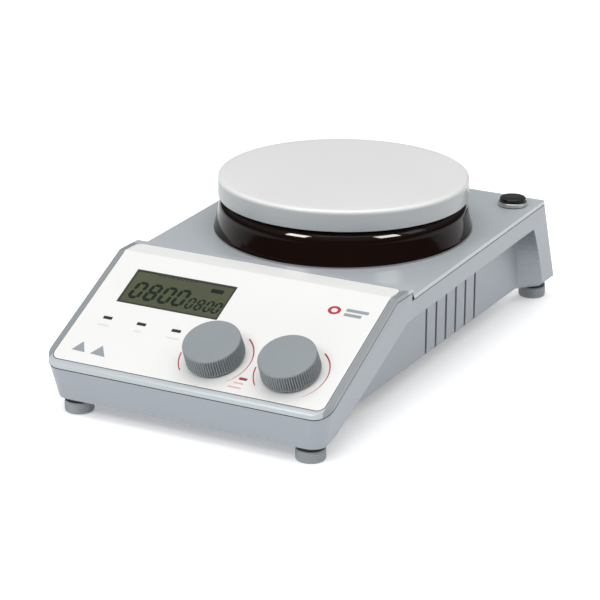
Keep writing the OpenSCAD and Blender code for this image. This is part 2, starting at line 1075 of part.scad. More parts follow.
// Flat ribbon from the control board down to the power board.
module ribbon_cable() {
    y0 = -79;
    y1 = -86;
    t = 1.2;
    z0 = power_board_z + board_t;
    color("#8E9499")
        across(9)
            polygon([
                [y0, z0], [y0 + t, z0], [y0 + t, z0 + 9], [y1 + t, z0 + 18],
                [y1 + t, board_under(y1 + t)], [y1, board_under(y1)], [y1, z0 + 17.4],
                [y0, z0 + 8.4]
            ]);
}

// Rod socket ----------------------------------------------------------------------------

module rod_socket() {
    low = platform_z - rod_depth;
    seat = platform_at(rod_y);
    top = seat + rod_boss_h;
    edge = 0.3;
    color("#B8BBBD")
        translate([rod_x, rod_y, 0])
            difference() {
                rotate_extrude()
                    polygon([
                        [0, low], [rod_neck_r, low], [rod_neck_r, seat + edge],
                        [rod_boss_r, seat + edge], [rod_boss_r, top - edge],
                        [rod_boss_r - edge, top], [0, top]
                    ]);
                translate([0, 0, low + rod_floor])
                    cylinder(r = rod_hole_r, h = beyond);
                translate([0, 0, top - rod_groove_depth])
                    difference() {
                        cylinder(r = rod_groove_r[1], h = rod_groove_depth + 1);
                        translate([0, 0, -1])
                            cylinder(r = rod_groove_r[0], h = rod_groove_depth + 3);
                    }
            }
}

// Press-on cap over the socket: a shallow dished disc with a locating rib.
module rod_cap() {
    z = platform_at(rod_y) + rod_boss_h;
    dish = 0.5;
    rib_r = [rod_groove_r[0] + 0.1, rod_groove_r[1] - 0.1];
    rib_h = rod_groove_depth - 0.3;
    color("#0C0C0D")
        translate([rod_x, rod_y, z + 0.02])
            rotate_extrude()
                polygon(concat(
                    [
                        [0, 0], [rib_r[0], 0], [rib_r[0], -rib_h],
                        [rib_r[1], -rib_h], [rib_r[1], 0], [rod_cap_r - 0.4, 0]
                    ],
                    arc([rod_cap_r - 1, 1.2], 1, -30, 90, 6),
                    [[rod_cap_r - 2.4, rod_cap_h - dish], [0, rod_cap_h - dish]]));
}

// Rear connectors -----------------------------------------------------------------------

// Upright block centred on a point of the rear panel, from y0 to y1.
module rear_block_at(x, z, half, y0, y1) {
    block([x - half[0], y0, z - half[1]], [x + half[0], y1, z + half[1]]);
}

module rear_panel() {
    y0 = bay_y - 1;
    y1 = rear_panel_face + 1;
    gap = [inlet_gap, inlet_gap];
    color("#9AA1A6")
        difference() {
            block([0.4 - leg_inner_x, bay_y, rear_panel_z[0]],
                [leg_inner_x - 0.4, rear_panel_face, rear_panel_z[1]]);
            rear_block_at(inlet_x, inlet_z, inlet_body + gap, y0, y1);
            rear_block_at(switch_x, switch_z, switch_body + gap, y0, y1);
            rear_block_at(port_x, port_z, port_hole, y0, y1);
            translate([sensor_x, y0, sensor_z])
                rotate([-90, 0, 0])
                    cylinder(r = sensor_r + inlet_gap, h = rear_panel_t + 2);
            each_panel_screw(y0)
                cylinder(r = 1.6, h = rear_panel_t + 2);
        }
}

module rear_panel_screws() {
    color("#C8CBCD")
        each_panel_screw(rear_panel_face)
            mirror([0, 0, 1])
                screw(2.6, 1.4, 1.3, 4);
}

// Appliance inlet: shroud with a chamfered recess, and a drawer slot below it.
module power_inlet() {
    drawer_gap = [drawer_w / 2 + inlet_gap, drawer_h / 2 + inlet_gap];
    color("#141516")
        difference() {
            union() {
                rear_block_at(inlet_x, inlet_z, inlet_flange, rear_panel_face, inlet_flange_y);
                rear_block_at(inlet_x, inlet_z, inlet_body, bay_y - inlet_depth, rear_panel_face);
            }
            inlet_recess();
            rear_block_at(inlet_x, drawer_z, drawer_gap, bay_y - drawer_len, inlet_flange_y + 2);
        }
}

// Chamfered pocket that the appliance plug goes into.
module inlet_recess() {
    half_x = 12;
    half_z = 7.8;
    chamfer = 4.4;
    translate([inlet_x, inlet_flange_y + 2, inlet_z + 4.5])
        rotate([90, 0, 0])
            linear_extrude(20)
                polygon([
                    [-half_x, -half_z], [half_x, -half_z], [half_x, half_z - chamfer],
                    [half_x - chamfer, half_z], [chamfer - half_x, half_z],
                    [-half_x, half_z - chamfer]
                ]);
}

module inlet_pins() {
    color("#D0C79A")
        for (p = pin_spots)
            rear_block_at(inlet_x + p[0], inlet_z + p[1], [1, 2], bay_y - 14, bay_y + 1.5);
}

// Fuse drawer: face plate, finger notch under its edge and a tray cut out for one fuse.
module fuse_drawer() {
    y0 = bay_y - drawer_len + 1;
    half = [drawer_w / 2, drawer_h / 2];
    tray = [10.2, 2.5];
    color("#1B1C1E")
        difference() {
            rear_block_at(inlet_x, drawer_z, half, y0, inlet_flange_y + drawer_front);
            block([inlet_x - tray[0], y0 + 3, drawer_z - tray[1]],
                [inlet_x + tray[0], y0 + 9, beyond]);
            rear_block_at(inlet_x, drawer_z - half[1], [3, 1.6], inlet_flange_y + 0.5, beyond * 2);
        }
}

module fuse() {
    color("#D9DDDD")
        translate([inlet_x - 10, bay_y - drawer_len + 7, drawer_z + 0.1])
            rotate([0, 90, 0])
                cylinder(r = 2.5, h = 20);
}

module switch_frame() {
    color("#141516")
        difference() {
            union() {
                rear_block_at(switch_x, switch_z, switch_flange, rear_panel_face, bay_y + 3.4);
                rear_block_at(switch_x, switch_z, switch_body, bay_y - 14, rear_panel_face);
            }
            rear_block_at(switch_x, switch_z, switch_well, bay_y - 7, bay_y + 6);
        }
}

// Rocker: shallow V-shaped face, drawn leaning to its off side about the pivot.
module switch_rocker() {
    half_x = switch_well[0] - 0.3;
    color("#1A1B1C")
        translate([switch_x, bay_y, switch_z])
            rotate([switch_angle, 0, 0])
                translate([-half_x, 0, 0])
                    rotate([90, 0, 90])
                        linear_extrude(2 * half_x)
                            polygon([
                                [-3, -5], [4.4, -8.2], [3.9, 0], [4.4, 8.2], [-3, 5]
                            ]);
}

// Sensor socket: flanged barrel with a ring of contact holes in the floor of its well.
module sensor_socket() {
    well_floor = 6;
    contact_pcr = 3.4;
    color("#2A2C2E")
        translate([sensor_x, sensor_rear_y, sensor_z])
            rotate([-90, 0, 0])
                difference() {
                    union() {
                        cylinder(r = sensor_r, h = sensor_len);
                        translate([0, 0, sensor_len])
                            cylinder(r = sensor_flange_r, h = 1.6);
                    }
                    translate([0, 0, well_floor])
                        cylinder(r = 5.8, h = sensor_len);
                    for (a = [0:60:300])
                        rotate([0, 0, a])
                            translate([contact_pcr, 0, well_floor / 2])
                                cylinder(r = 0.5, h = sensor_len, $fn = 16);
                }
}

// Data port: metal flange and D-shaped shell around a plastic insert, with two jack posts.
module data_port() {
    color("#B8BBBD")
        translate([port_x, rear_panel_face, port_z])
            rotate([-90, 0, 0]) {
                linear_extrude(1)
                    square([31, 12.4], center = true);
                translate([0, 0, 1])
                    linear_extrude(5)
                        polygon([[-8.4, -4], [8.4, -4], [7.6, 4], [-7.6, 4]]);
                for (x = [-12.5, 12.5])
                    translate([x, 0, 1])
                        difference() {
                            cylinder(r = 2.4, h = 4.6, $fn = 6);
                            cylinder(r = 1.25, h = 6);
                        }
            }
}

lower_housing();
upper_cover();
bottom_plate();
bottom_screws();
case_screws();
feet();
foot_necks();
foot_screws();
rear_panel();
rear_panel_screws();
control_panel();
display_window();
display_module();
indicator_windows();
control_board();
control_board_posts();
encoder_bodies();
encoder_bushings();
encoder_nuts();
heat_plunger();
heat_knob();
heat_shaft();
speed_plunger();
speed_knob();
speed_shaft();
work_plate();
heating_element();
insulation_disc();
heat_shield();
plate_standoffs();
temperature_sensor();
heater_leads();
heater_skirt();
skirt_seat_ring();
chassis_plate();
chassis_posts();
motor_housing();
motor_stator();
motor_bearings();
motor_shaft();
motor_rotor();
magnet_carrier();
drive_magnets();
power_board();
transformer();
heat_sink();
capacitors();
ribbon_cable();
rod_socket();
rod_cap();
power_inlet();
inlet_pins();
fuse_drawer();
fuse();
switch_frame();
switch_rocker();
sensor_socket();
data_port();
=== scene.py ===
"""Studio scene of a heated magnetic stirrer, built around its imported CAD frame.

Every piece is in metres in the row frame. Sizes named ..._mm are in millimetres, because the
pieces are small, and are turned into metres where a mesh is made.
"""

import json
import logging
import math
from abc import ABC, abstractmethod
from dataclasses import dataclass, field
from enum import Enum
from typing import Callable, Iterable, Optional, Sequence, Union

import bmesh
import bpy
from mathutils import Matrix, Vector

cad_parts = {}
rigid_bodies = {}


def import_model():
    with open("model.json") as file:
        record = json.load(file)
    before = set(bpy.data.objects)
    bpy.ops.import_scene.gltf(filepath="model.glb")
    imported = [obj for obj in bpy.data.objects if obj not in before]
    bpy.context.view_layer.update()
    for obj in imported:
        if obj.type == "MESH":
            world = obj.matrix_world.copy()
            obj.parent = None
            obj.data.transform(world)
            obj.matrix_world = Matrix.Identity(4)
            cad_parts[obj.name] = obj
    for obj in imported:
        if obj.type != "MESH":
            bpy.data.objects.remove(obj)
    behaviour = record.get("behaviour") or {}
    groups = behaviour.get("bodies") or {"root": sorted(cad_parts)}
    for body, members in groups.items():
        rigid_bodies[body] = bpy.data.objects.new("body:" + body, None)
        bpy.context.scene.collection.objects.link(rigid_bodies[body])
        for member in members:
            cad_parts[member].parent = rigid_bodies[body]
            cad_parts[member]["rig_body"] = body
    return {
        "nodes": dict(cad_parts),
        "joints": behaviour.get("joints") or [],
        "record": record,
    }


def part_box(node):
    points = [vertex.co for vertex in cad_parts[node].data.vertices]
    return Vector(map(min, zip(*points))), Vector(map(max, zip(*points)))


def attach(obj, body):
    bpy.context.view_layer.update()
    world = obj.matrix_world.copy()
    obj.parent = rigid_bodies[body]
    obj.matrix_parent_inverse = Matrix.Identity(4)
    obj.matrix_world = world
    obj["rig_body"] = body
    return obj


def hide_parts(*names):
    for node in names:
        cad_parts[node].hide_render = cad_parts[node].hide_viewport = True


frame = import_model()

LOG = logging.getLogger("stirrer")
MM = 0.001
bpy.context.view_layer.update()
Colour = tuple[float, float, float]
Point2 = tuple[float, float]


# Shader graph -------------------------------------------------------------------------


class Value:
    """A number socket of a material, on which arithmetic adds Math nodes."""

    def __init__(self, graph: "Graph", socket: bpy.types.NodeSocket) -> None:
        """Wraps a socket."""
        self.graph = graph
        self.socket = socket

    def __add__(self, other: "Number") -> "Value":
        """Sum."""
        return self.graph.math("ADD", self, other)

    def __radd__(self, other: "Number") -> "Value":
        """Sum, with the number on the left."""
        return self.graph.math("ADD", other, self)

    def __sub__(self, other: "Number") -> "Value":
        """Difference."""
        return self.graph.math("SUBTRACT", self, other)

    def __rsub__(self, other: "Number") -> "Value":
        """Difference, with the number on the left."""
        return self.graph.math("SUBTRACT", other, self)

    def __mul__(self, other: "Number") -> "Value":
        """Product."""
        return self.graph.math("MULTIPLY", self, other)

    def __rmul__(self, other: "Number") -> "Value":
        """Product, with the number on the left."""
        return self.graph.math("MULTIPLY", other, self)

    def __truediv__(self, other: "Number") -> "Value":
        """Quotient."""
        return self.graph.math("DIVIDE", self, other)

    def clamped(self) -> "Value":
        """The value held between 0 and 1."""
        return self.graph.math("ADD", self, 0.0, clamp=True)


Number = Union[Value, float]
Link = Union[Value, bpy.types.NodeSocket, float, Sequence[float]]


class Graph:
    """The node tree of one material or world."""

    def __init__(self, owner: Union[bpy.types.Material, bpy.types.World]) -> None:
        """Empties the node tree of a new material or world."""
        self.owner = owner
        self.owner.use_nodes = True
        self.tree = owner.node_tree
        self.tree.nodes.clear()

    def node(
        self,
        kind: str,
        settings: Optional[dict] = None,
        inputs: Optional[dict[Union[str, int], Link]] = None,
    ) -> bpy.types.Node:
        """Adds a node.

        Args:
            kind: The node's type, such as ShaderNodeTexNoise.
            settings: Properties that are set before the sockets.
            inputs: Values or links, by socket name or place.

        Returns:
            The new node.
        """
        made = self.tree.nodes.new(kind)
        for key, value in (settings or {}).items():
            setattr(made, key, value)
        for key, value in (inputs or {}).items():
            source = value.socket if isinstance(value, Value) else value
            if isinstance(source, bpy.types.NodeSocket):
                self.tree.links.new(source, made.inputs[key])
            else:
                made.inputs[key].default_value = source
        return made

    def math(self, operation: str, *terms: Number, clamp: bool = False) -> Value:
        """Adds a Math node."""
        made = self.node(
            "ShaderNodeMath",
            {"operation": operation, "use_clamp": clamp},
            dict(enumerate(terms)),
        )
        return Value(self, made.outputs[0])

    def place(self, stretch: Sequence[float] = (1, 1, 1)) -> bpy.types.NodeSocket:
        """Object coordinates, stretched."""
        coordinates = self.node("ShaderNodeTexCoord")
        mapping = self.node(
            "ShaderNodeMapping",
            inputs={"Vector": coordinates.outputs["Object"], "Scale": tuple(stretch)},
        )
        return mapping.outputs["Vector"]

    def noise(
        self, scale: float, detail: float = 2.0, stretch: Sequence[float] = (1, 1, 1)
    ) -> Value:
        """Noise in object space."""
        made = self.node(
            "ShaderNodeTexNoise",
            inputs={"Vector": self.place(stretch), "Scale": scale, "Detail": detail},
        )
        return Value(self, made.outputs["Fac"])

    def axis(self, name: str) -> Value:
        """Distance along X, Y or Z in metres, in object space."""
        axes = self.node("ShaderNodeSeparateXYZ", inputs={"Vector": self.place()})
        return Value(self, axes.outputs[name])

    def mix(self, factor: Number, low: Link, high: Link) -> bpy.types.NodeSocket:
        """Mixes two colours, each a plain one or a socket, by a factor from 0 to 1."""
        first, second = (
            (*colour, 1.0) if isinstance(colour, tuple) else colour for colour in (low, high)
        )
        made = self.node(
            "ShaderNodeMix", {"data_type": "RGBA"}, {"Factor": factor, 6: first, 7: second}
        )
        return made.outputs[2]

    def vary(
        self, tint: Value, colour: Colour, low: float, high: float
    ) -> bpy.types.NodeSocket:
        """A colour that a map drives between two shades of itself."""
        return self.mix(tint.clamped(), shade(colour, low), shade(colour, high))

    def bump(self, height: Value, depth_mm: float) -> bpy.types.NodeSocket:
        """A normal bumped by a height map whose full range is so many millimetres deep."""
        made = self.node(
            "ShaderNodeBump", inputs={"Height": height, "Distance": depth_mm * MM}
        )
        return made.outputs["Normal"]

    def finish(self, inputs: dict[str, Link]) -> bpy.types.Material:
        """Closes the graph with a Principled shader and gives the material."""
        shader = self.node("ShaderNodeBsdfPrincipled", inputs=inputs)
        self.node("ShaderNodeOutputMaterial", inputs={"Surface": shader.outputs[0]})
        return self.owner


# Finishes -----------------------------------------------------------------------------


def shade(colour: Colour, factor: float) -> Colour:
    """A colour made darker or lighter by a factor on each channel."""
    return tuple(min(channel * factor, 1.0) for channel in colour)


class Finish(ABC):
    """A kind of surface, which knows the maps and values of its own shader."""

    @abstractmethod
    def inputs(self, graph: Graph) -> dict[str, Link]:
        """Builds the maps in a graph and gives the shader's inputs by name."""

    def material(self, name: str) -> bpy.types.Material:
        """Builds the material under a name."""
        graph = Graph(bpy.data.materials.new(name))
        return graph.finish(self.inputs(graph))


@dataclass(frozen=True)
class SatinPaint(Finish):
    """Silver paint over moulded shells: fine flake, faint orange peel and handling marks.

    Below 1, the band factor paints shade: the paint is darker outside band_x and in front of
    band_y, in metres, on the bezel strips beside the panel, in place of the shade that falls on
    them.
    """

    colour: Colour
    metallic: float = 0.3
    roughness: float = 0.36
    flake: float = 0.05
    coat: float = 0.15
    bezel_shade: float = 1.0
    band_x: float = 0.0772
    band_y: float = -0.0565
    fade_x: float = 0.0004
    fade_y: float = 0.0015

    def inputs(self, graph: Graph) -> dict[str, Link]:
        """The shader's inputs, with a drifting cloud in them."""
        cloud = graph.noise(9.0, 3.0)
        flake = graph.noise(5200.0, 1.0)
        peel = graph.noise(1500.0, 2.0)
        tint = (cloud - 0.5) * 0.16 + (flake - 0.5) * self.flake * 4.0 + 0.5
        base = graph.vary(tint, self.colour, 0.9, 1.1)
        # Painted shade: the bezel strips beside the white panel are darkened in colour,
        # standing in for their shade.
        if self.bezel_shade < 1.0:
            side = graph.math("ABSOLUTE", graph.axis("X")) - self.band_x
            ahead = self.band_y - graph.axis("Y")
            shade_mask = (side / self.fade_x).clamped() * (ahead / self.fade_y).clamped()
            base = graph.mix(shade_mask, base, shade(self.colour, self.bezel_shade))
        return {
            "Base Color": base,
            "Metallic": self.metallic,
            "Roughness": self.roughness + (cloud - 0.5) * 0.10 + (flake - 0.5) * 0.12,
            "Coat Weight": self.coat,
            "Coat Roughness": 0.25,
            "Normal": graph.bump(peel + flake * 0.5, 0.012),
        }


@dataclass(frozen=True)
class CeramicGlaze(Finish):
    """White glaze over the top of the work plate, with a greyer colour painted on its rim as
    shade, darker than the glaze.
    """

    colour: Colour
    # Grey painted on the rim as its shade.
    rim: Colour
    shade_line_m: float
    blend_m: float = 0.0016
    waver_m: float = 0.0006

    def inputs(self, graph: Graph) -> dict[str, Link]:
        """The shader's inputs, with a drifting cloud in them."""
        cloud = graph.noise(16.0, 4.0)
        speck = graph.noise(900.0, 3.0)
        ripple = graph.noise(220.0, 2.0)
        turned = graph.noise(60.0, 2.0, (1.0, 1.0, 40.0))
        tint = (cloud - 0.5) * 0.5 + (speck - 0.5) * 0.35 + 0.5
        glaze = graph.vary(tint, self.colour, 0.97, 1.02)
        # Painted shade: below the line the rim gets the grey rim colour, with faint turned
        # lines in it, for the shade on its upright side.
        rim_shaded = graph.vary(turned, self.rim, 0.9, 1.1)
        height = graph.axis("Z") + (cloud - 0.5) * self.waver_m
        top_mask = ((height - self.shade_line_m) / self.blend_m).clamped()
        return {
            "Base Color": graph.mix(top_mask, rim_shaded, glaze),
            "Roughness": 0.34 + (cloud - 0.5) * 0.16 + (speck - 0.5) * 0.08,
            "Coat Weight": 0.15 + top_mask * 0.15,
            "Coat Roughness": 0.12,
            "Normal": graph.bump(ripple + speck * 0.2 + turned * 0.6, 0.008),
        }


@dataclass(frozen=True)
class GlossEnamel(Finish):
    """Deep brown-black enamel: mirror-like, with a slight waviness and fine dust."""

    colour: Colour
    roughness: float = 0.06
    specular: float = 0.15
    dust_from: float = 0.62

    def inputs(self, graph: Graph) -> dict[str, Link]:
        """Builds the maps in a graph and gives the shader's inputs by name."""
        wave = graph.noise(26.0, 2.0)
        specks = ((graph.noise(1300.0, 3.0) - self.dust_from) * 6.0).clamped()
        return {
            "Base Color": graph.mix(specks * 0.25, self.colour, shade(self.colour, 3.0)),
            "Roughness": self.roughness + (wave - 0.5) * 0.03 + specks * 0.05,
            "Specular IOR Level": self.specular,
            "Normal": graph.bump(wave, 0.03),
        }


@dataclass(frozen=True)
class MouldedPlastic(Finish):
    """Injection-moulded plastic or rubber: fine spark-eroded grain and faint colour drift."""

    colour: Colour
    roughness: float = 0.5
    grain_mm: float = 0.012
    grain_scale: float = 2600.0
    drift: float = 0.06
    coat: float = 0.0
    specular: float = 0.5

    def inputs(self, graph: Graph) -> dict[str, Link]:
        """The shader's inputs, with a drifting cloud in them."""
        cloud = graph.noise(30.0, 3.0)
        grain = graph.noise(self.grain_scale, 3.0)
        tint = (cloud - 0.5) * 1.2 + (grain - 0.5) * 0.6 + 0.5
        return {
            "Base Color": graph.vary(tint, self.colour, 1.0 - self.drift, 1.0 + self.drift),
            "Roughness": self.roughness + (cloud - 0.5) * 0.12 + (grain - 0.5) * 0.10,
            "Specular IOR Level": self.specular,
            "Coat Weight": self.coat,
            "Coat Roughness": 0.08,
            "Normal": graph.bump(grain, self.grain_mm),
        }


@dataclass(frozen=True)
class WorkedMetal(Finish):
    """Bare metal with fine tool lines along one direction."""

    colour: Colour
    roughness: float = 0.28
    lines: tuple[float, float, float] = (1.0, 1.0, 30.0)

    def inputs(self, graph: Graph) -> dict[str, Link]:
        """Builds the maps in a graph and gives the shader's inputs by name."""
        line = graph.noise(160.0, 3.0, self.lines)
        cloud = graph.noise(40.0, 3.0)
        tint = (line - 0.5) * 0.8 + (cloud - 0.5) * 0.6 + 0.5
        return {
            "Base Color": graph.vary(tint, self.colour, 0.86, 1.1),
            "Metallic": 1.0,
            "Roughness": self.roughness + (line - 0.5) * 0.16 + (cloud - 0.5) * 0.08,
            "Normal": graph.bump(line, 0.006),
        }


@dataclass(frozen=True)
class PrintedInk(Finish):
    """Screen-printed ink: a flat colour broken by the print mesh's fine unevenness."""

    colour: Colour
    roughness: float = 0.42
    specular: float = 0.2

    def inputs(self, graph: Graph) -> dict[str, Link]:
        """Builds the maps in a graph and gives the shader's inputs by name."""
        weave = graph.noise(2400.0, 2.0)
        return {
            "Base Color": graph.vary(weave, self.colour, 0.88, 1.12),
            "Roughness": self.roughness + (weave - 0.5) * 0.12,
            "Specular IOR Level": self.specular,
            "Normal": graph.bump(weave, 0.004),
        }


@dataclass(frozen=True)
class CrystalFace(Finish):
    """Olive face of the display: an uneven tint and a faint cell grid."""

    colour: Colour
    specular: float = 0.3

    def inputs(self, graph: Graph) -> dict[str, Link]:
        """The shader's inputs, with a drifting cloud in them."""
        cloud = graph.noise(24.0, 2.0)
        grid = graph.noise(3400.0, 1.0)
        tint = (cloud - 0.5) * 1.6 + (grid - 0.5) * 0.25 + 0.5
        return {
            "Base Color": graph.vary(tint, self.colour, 0.84, 1.18),
            "Roughness": 0.34 + (grid - 0.5) * 0.06,
            "Specular IOR Level": self.specular,
            "Normal": graph.bump(grid, 0.002),
        }


@dataclass(frozen=True)
class ClearTube(Finish):
    """Clear glass with a faint tint."""

    colour: Colour

    def inputs(self, graph: Graph) -> dict[str, Link]:
        """The shader's inputs, with a drifting cloud in them."""
        cloud = graph.noise(200.0, 2.0)
        return {
            "Base Color": graph.vary(cloud, self.colour, 0.95, 1.0),
            "Roughness": 0.04 + cloud * 0.04,
            "Alpha": 0.45 + cloud * 0.1,
            "IOR": 1.5,
        }


SLOT_FINISHES: dict[str, Finish] = {
    "housing_paint": SatinPaint((0.30, 0.325, 0.358), metallic=0.25, roughness=0.40),
    # The cover's band factor paints shade on the bezel strips beside the panel.
    "cover_paint": SatinPaint((0.45, 0.485, 0.51), metallic=0.15, roughness=0.33, bezel_shade=0.55),
    "panel_white": MouldedPlastic((0.745, 0.745, 0.73), 0.38, 0.006, 1800.0, 0.015, 0.1),
    # The plate's second colour is painted shade for its rim.
    "plate_ceramic": CeramicGlaze((0.73, 0.735, 0.725), (0.36, 0.38, 0.39), 0.0893),
    "skirt_black": GlossEnamel((0.0024, 0.0010, 0.0008)),
    "seat_grey": MouldedPlastic((0.30, 0.31, 0.31), 0.35),
    "knob_grey": MouldedPlastic((0.225, 0.25, 0.262), 0.46, 0.010),
    "display_glass": CrystalFace((0.058, 0.066, 0.033)),
    "display_body": MouldedPlastic((0.012, 0.014, 0.012), 0.4),
    "indicator_black": MouldedPlastic((0.008, 0.008, 0.008), 0.2, coat=0.5),
    "foot_grey": MouldedPlastic((0.28, 0.30, 0.315), 0.5),
    "neck_black": MouldedPlastic((0.010, 0.010, 0.011), 0.6),
    "screw_steel": WorkedMetal((0.62, 0.62, 0.6), 0.3),
    "panel_metal": SatinPaint((0.30, 0.32, 0.34), metallic=0.3, roughness=0.42),
    "board_green": MouldedPlastic((0.02, 0.12, 0.05), 0.3, coat=0.4),
    "black_plastic": MouldedPlastic((0.014, 0.014, 0.015), 0.42),
    "brass_part": WorkedMetal((0.72, 0.53, 0.25), 0.25),
    "steel_part": WorkedMetal((0.56, 0.57, 0.58), 0.3),
    "aluminium_part": WorkedMetal((0.66, 0.67, 0.68), 0.32),
    "copper_winding": WorkedMetal((0.5, 0.19, 0.08), 0.35, (1.0, 1.0, 60.0)),
    "mica": MouldedPlastic((0.62, 0.57, 0.45), 0.8, 0.05, 700.0),
    "heater_film": MouldedPlastic((0.2, 0.18, 0.16), 0.6, 0.03, 900.0),
    "magnet_grey": WorkedMetal((0.16, 0.165, 0.17), 0.35),
    "boss_silver": WorkedMetal((0.60, 0.60, 0.59), 0.22),
    "cap_black": MouldedPlastic((0.005, 0.005, 0.005), 0.16, 0.002, specular=0.3),
    "glass_tube": ClearTube((0.85, 0.9, 0.9)),
    "white_plastic": MouldedPlastic((0.62, 0.6, 0.54), 0.5),
    "ribbon_grey": MouldedPlastic((0.3, 0.31, 0.33), 0.55, 0.02, 1200.0),
}

INK_FINISHES: dict[str, Finish] = {
    "ink_red": PrintedInk((0.44, 0.035, 0.055)),
    "ink_pale_red": PrintedInk((0.72, 0.34, 0.36)),
    "ink_grey": PrintedInk((0.27, 0.30, 0.32)),
    "ink_pale_grey": PrintedInk((0.62, 0.63, 0.63)),
    "segment_dark": PrintedInk((0.003, 0.010, 0.005), 0.6),
}


class FinishBook:
    """Builds each material once and hands it out by name."""

    def __init__(self) -> None:
        """Starts with no material built."""
        self.finishes = {**SLOT_FINISHES, **INK_FINISHES}
        self.made: dict[str, bpy.types.Material] = {}

    def get(self, name: str) -> bpy.types.Material:
        """Gives a material, and builds it the first time."""
        if name not in self.made:
            self.made[name] = self.finishes[name].material(name)
        return self.made[name]


# Mesh tools ---------------------------------------------------------------------------

WELD_M = 2e-6
FLAT_DEG = 0.4
EDGE_DEG = 18
EDGE_SEGMENTS = 3


class Edge(Enum):
    """How softly an edge is broken, in millimetres."""

    CRISP = 0.15
    FINE = 0.3
    MOULDED = 0.6
    BODY = 0.9


def to_object(name: str, mesh: bmesh.types.BMesh, smooth_deg: float = 32.0) -> bpy.types.Object:
    """Turns a bmesh into a smooth-shaded object in the scene."""
    bmesh.ops.recalc_face_normals(mesh, faces=mesh.faces)
    data = bpy.data.meshes.new(name)
    mesh.to_mesh(data)
    mesh.free()
    data.polygons.foreach_set("use_smooth", [True] * len(data.polygons))
    data.set_sharp_from_angle(angle=math.radians(smooth_deg))
    made = bpy.data.objects.new(name, data)
    bpy.context.scene.collection.objects.link(made)
    return made


def lathe(mesh: bmesh.types.BMesh, profile: Sequence[Point2], steps: int) -> None:
    """Turns a profile about Z into a closed solid.

    Args:
        mesh: The mesh to add to.
        profile: Pairs of radius and height in metres; its ends lie on the axis or meet.
        steps: Segments round the axis.
    """
    rings = []
    for radius, height in profile:
        if radius < 1e-7:
            rings.append([mesh.verts.new((0, 0, height))])
            continue
        rings.append([
            mesh.verts.new((
                radius * math.cos(2 * math.pi * i / steps),
                radius * math.sin(2 * math.pi * i / steps),
                height,
            ))
            for i in range(steps)
        ])
    for low, high in zip(rings, rings[1:]):
        for i in range(steps):
            corners = [low[i % len(low)], low[(i + 1) % len(low)],
                       high[(i + 1) % len(high)], high[i % len(high)]]
            unique = list(dict.fromkeys(corners))
            if len(unique) > 2:
                mesh.faces.new(unique)


def quarter(
    centre: Point2, radius: float, start_deg: float, end_deg: float, steps: int = 6
) -> list[Point2]:
    """Points along an arc."""
    angles = [
        math.radians(start_deg + (end_deg - start_deg) * i / steps) for i in range(steps + 1)
    ]
    return [
        (centre[0] + radius * math.cos(a), centre[1] + radius * math.sin(a)) for a in angles
    ]


def turned(
    name: str, profile: Sequence[Point2], centre: Vector, steps: int
) -> bpy.types.Object:
    """Turns a profile into a piece about an upright axis through a point."""
    mesh = bmesh.new()
    lathe(mesh, profile, steps)
    bmesh.ops.translate(mesh, vec=(centre.x, centre.y, 0), verts=mesh.verts)
    return to_object(name, mesh)


def join(
    mesh: bmesh.types.BMesh,
    low: Sequence[bmesh.types.BMVert],
    high: Sequence[bmesh.types.BMVert],
) -> None:
    """Joins two closed rings of equally many points with a band of faces."""
    for i in range(len(low)):
        j = (i + 1) % len(low)
        mesh.faces.new([low[i], low[j], high[j], high[i]])


def tube(mesh: bmesh.types.BMesh, rings: Sequence[Sequence[bmesh.types.BMVert]]) -> None:
    """Joins rings in a row and closes both ends."""
    for low, high in zip(rings, rings[1:]):
        join(mesh, low, high)
    mesh.faces.new(rings[0][::-1])
    mesh.faces.new(rings[-1])


def bridge(mesh: bmesh.types.BMesh, rings: Sequence[Sequence[bmesh.types.BMVert]]) -> None:
    """Joins rings into a tube that runs back into itself."""
    for low, high in zip(rings, [*rings[1:], rings[0]]):
        join(mesh, low, high)


def prism(
    mesh: bmesh.types.BMesh, outline: Sequence[Point2], low: float, high: float
) -> None:
    """Adds an upright prism over an outline, between two heights in metres."""
    tube(mesh, [[mesh.verts.new((x, y, z)) for x, y in outline] for z in (low, high)])


def pointed_bar(start: Point2, end: Point2, width: float) -> list[Point2]:
    """Outline of a bar with pointed ends, as in a segment display."""
    along = Vector((end[0] - start[0], end[1] - start[1])).normalized()
    side = Vector((-along.y, along.x)) * width / 2
    step = along * width / 2
    low, high = Vector(start), Vector(end)
    corners = (low, low + step - side, high - step - side, high, high - step + side,
               low + step + side)
    return [(corner.x, corner.y) for corner in corners]


def box_outline(half_x: float, half_y: float, radius: float, steps: int = 5) -> list[Point2]:
    """Outline of a centred rectangle with rounded corners, anticlockwise."""
    x, y = half_x - radius, half_y - radius
    centres = ((x, y), (-x, y), (-x, -y), (x, -y))
    return [
        point
        for i, centre in enumerate(centres)
        for point in quarter(centre, radius, 90 * i, 90 * i + 90, steps)
    ]


def shifted(outline: Sequence[Point2], across: float, up: float) -> list[Point2]:
    """An outline moved on its plane."""
    return [(x + across, y + up) for x, y in outline]


def painted(piece: bpy.types.Object, finish: bpy.types.Material) -> bpy.types.Object:
    """Gives a piece its one finish and puts it on the base."""
    piece.data.materials.append(finish)
    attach(piece, "base")
    return piece


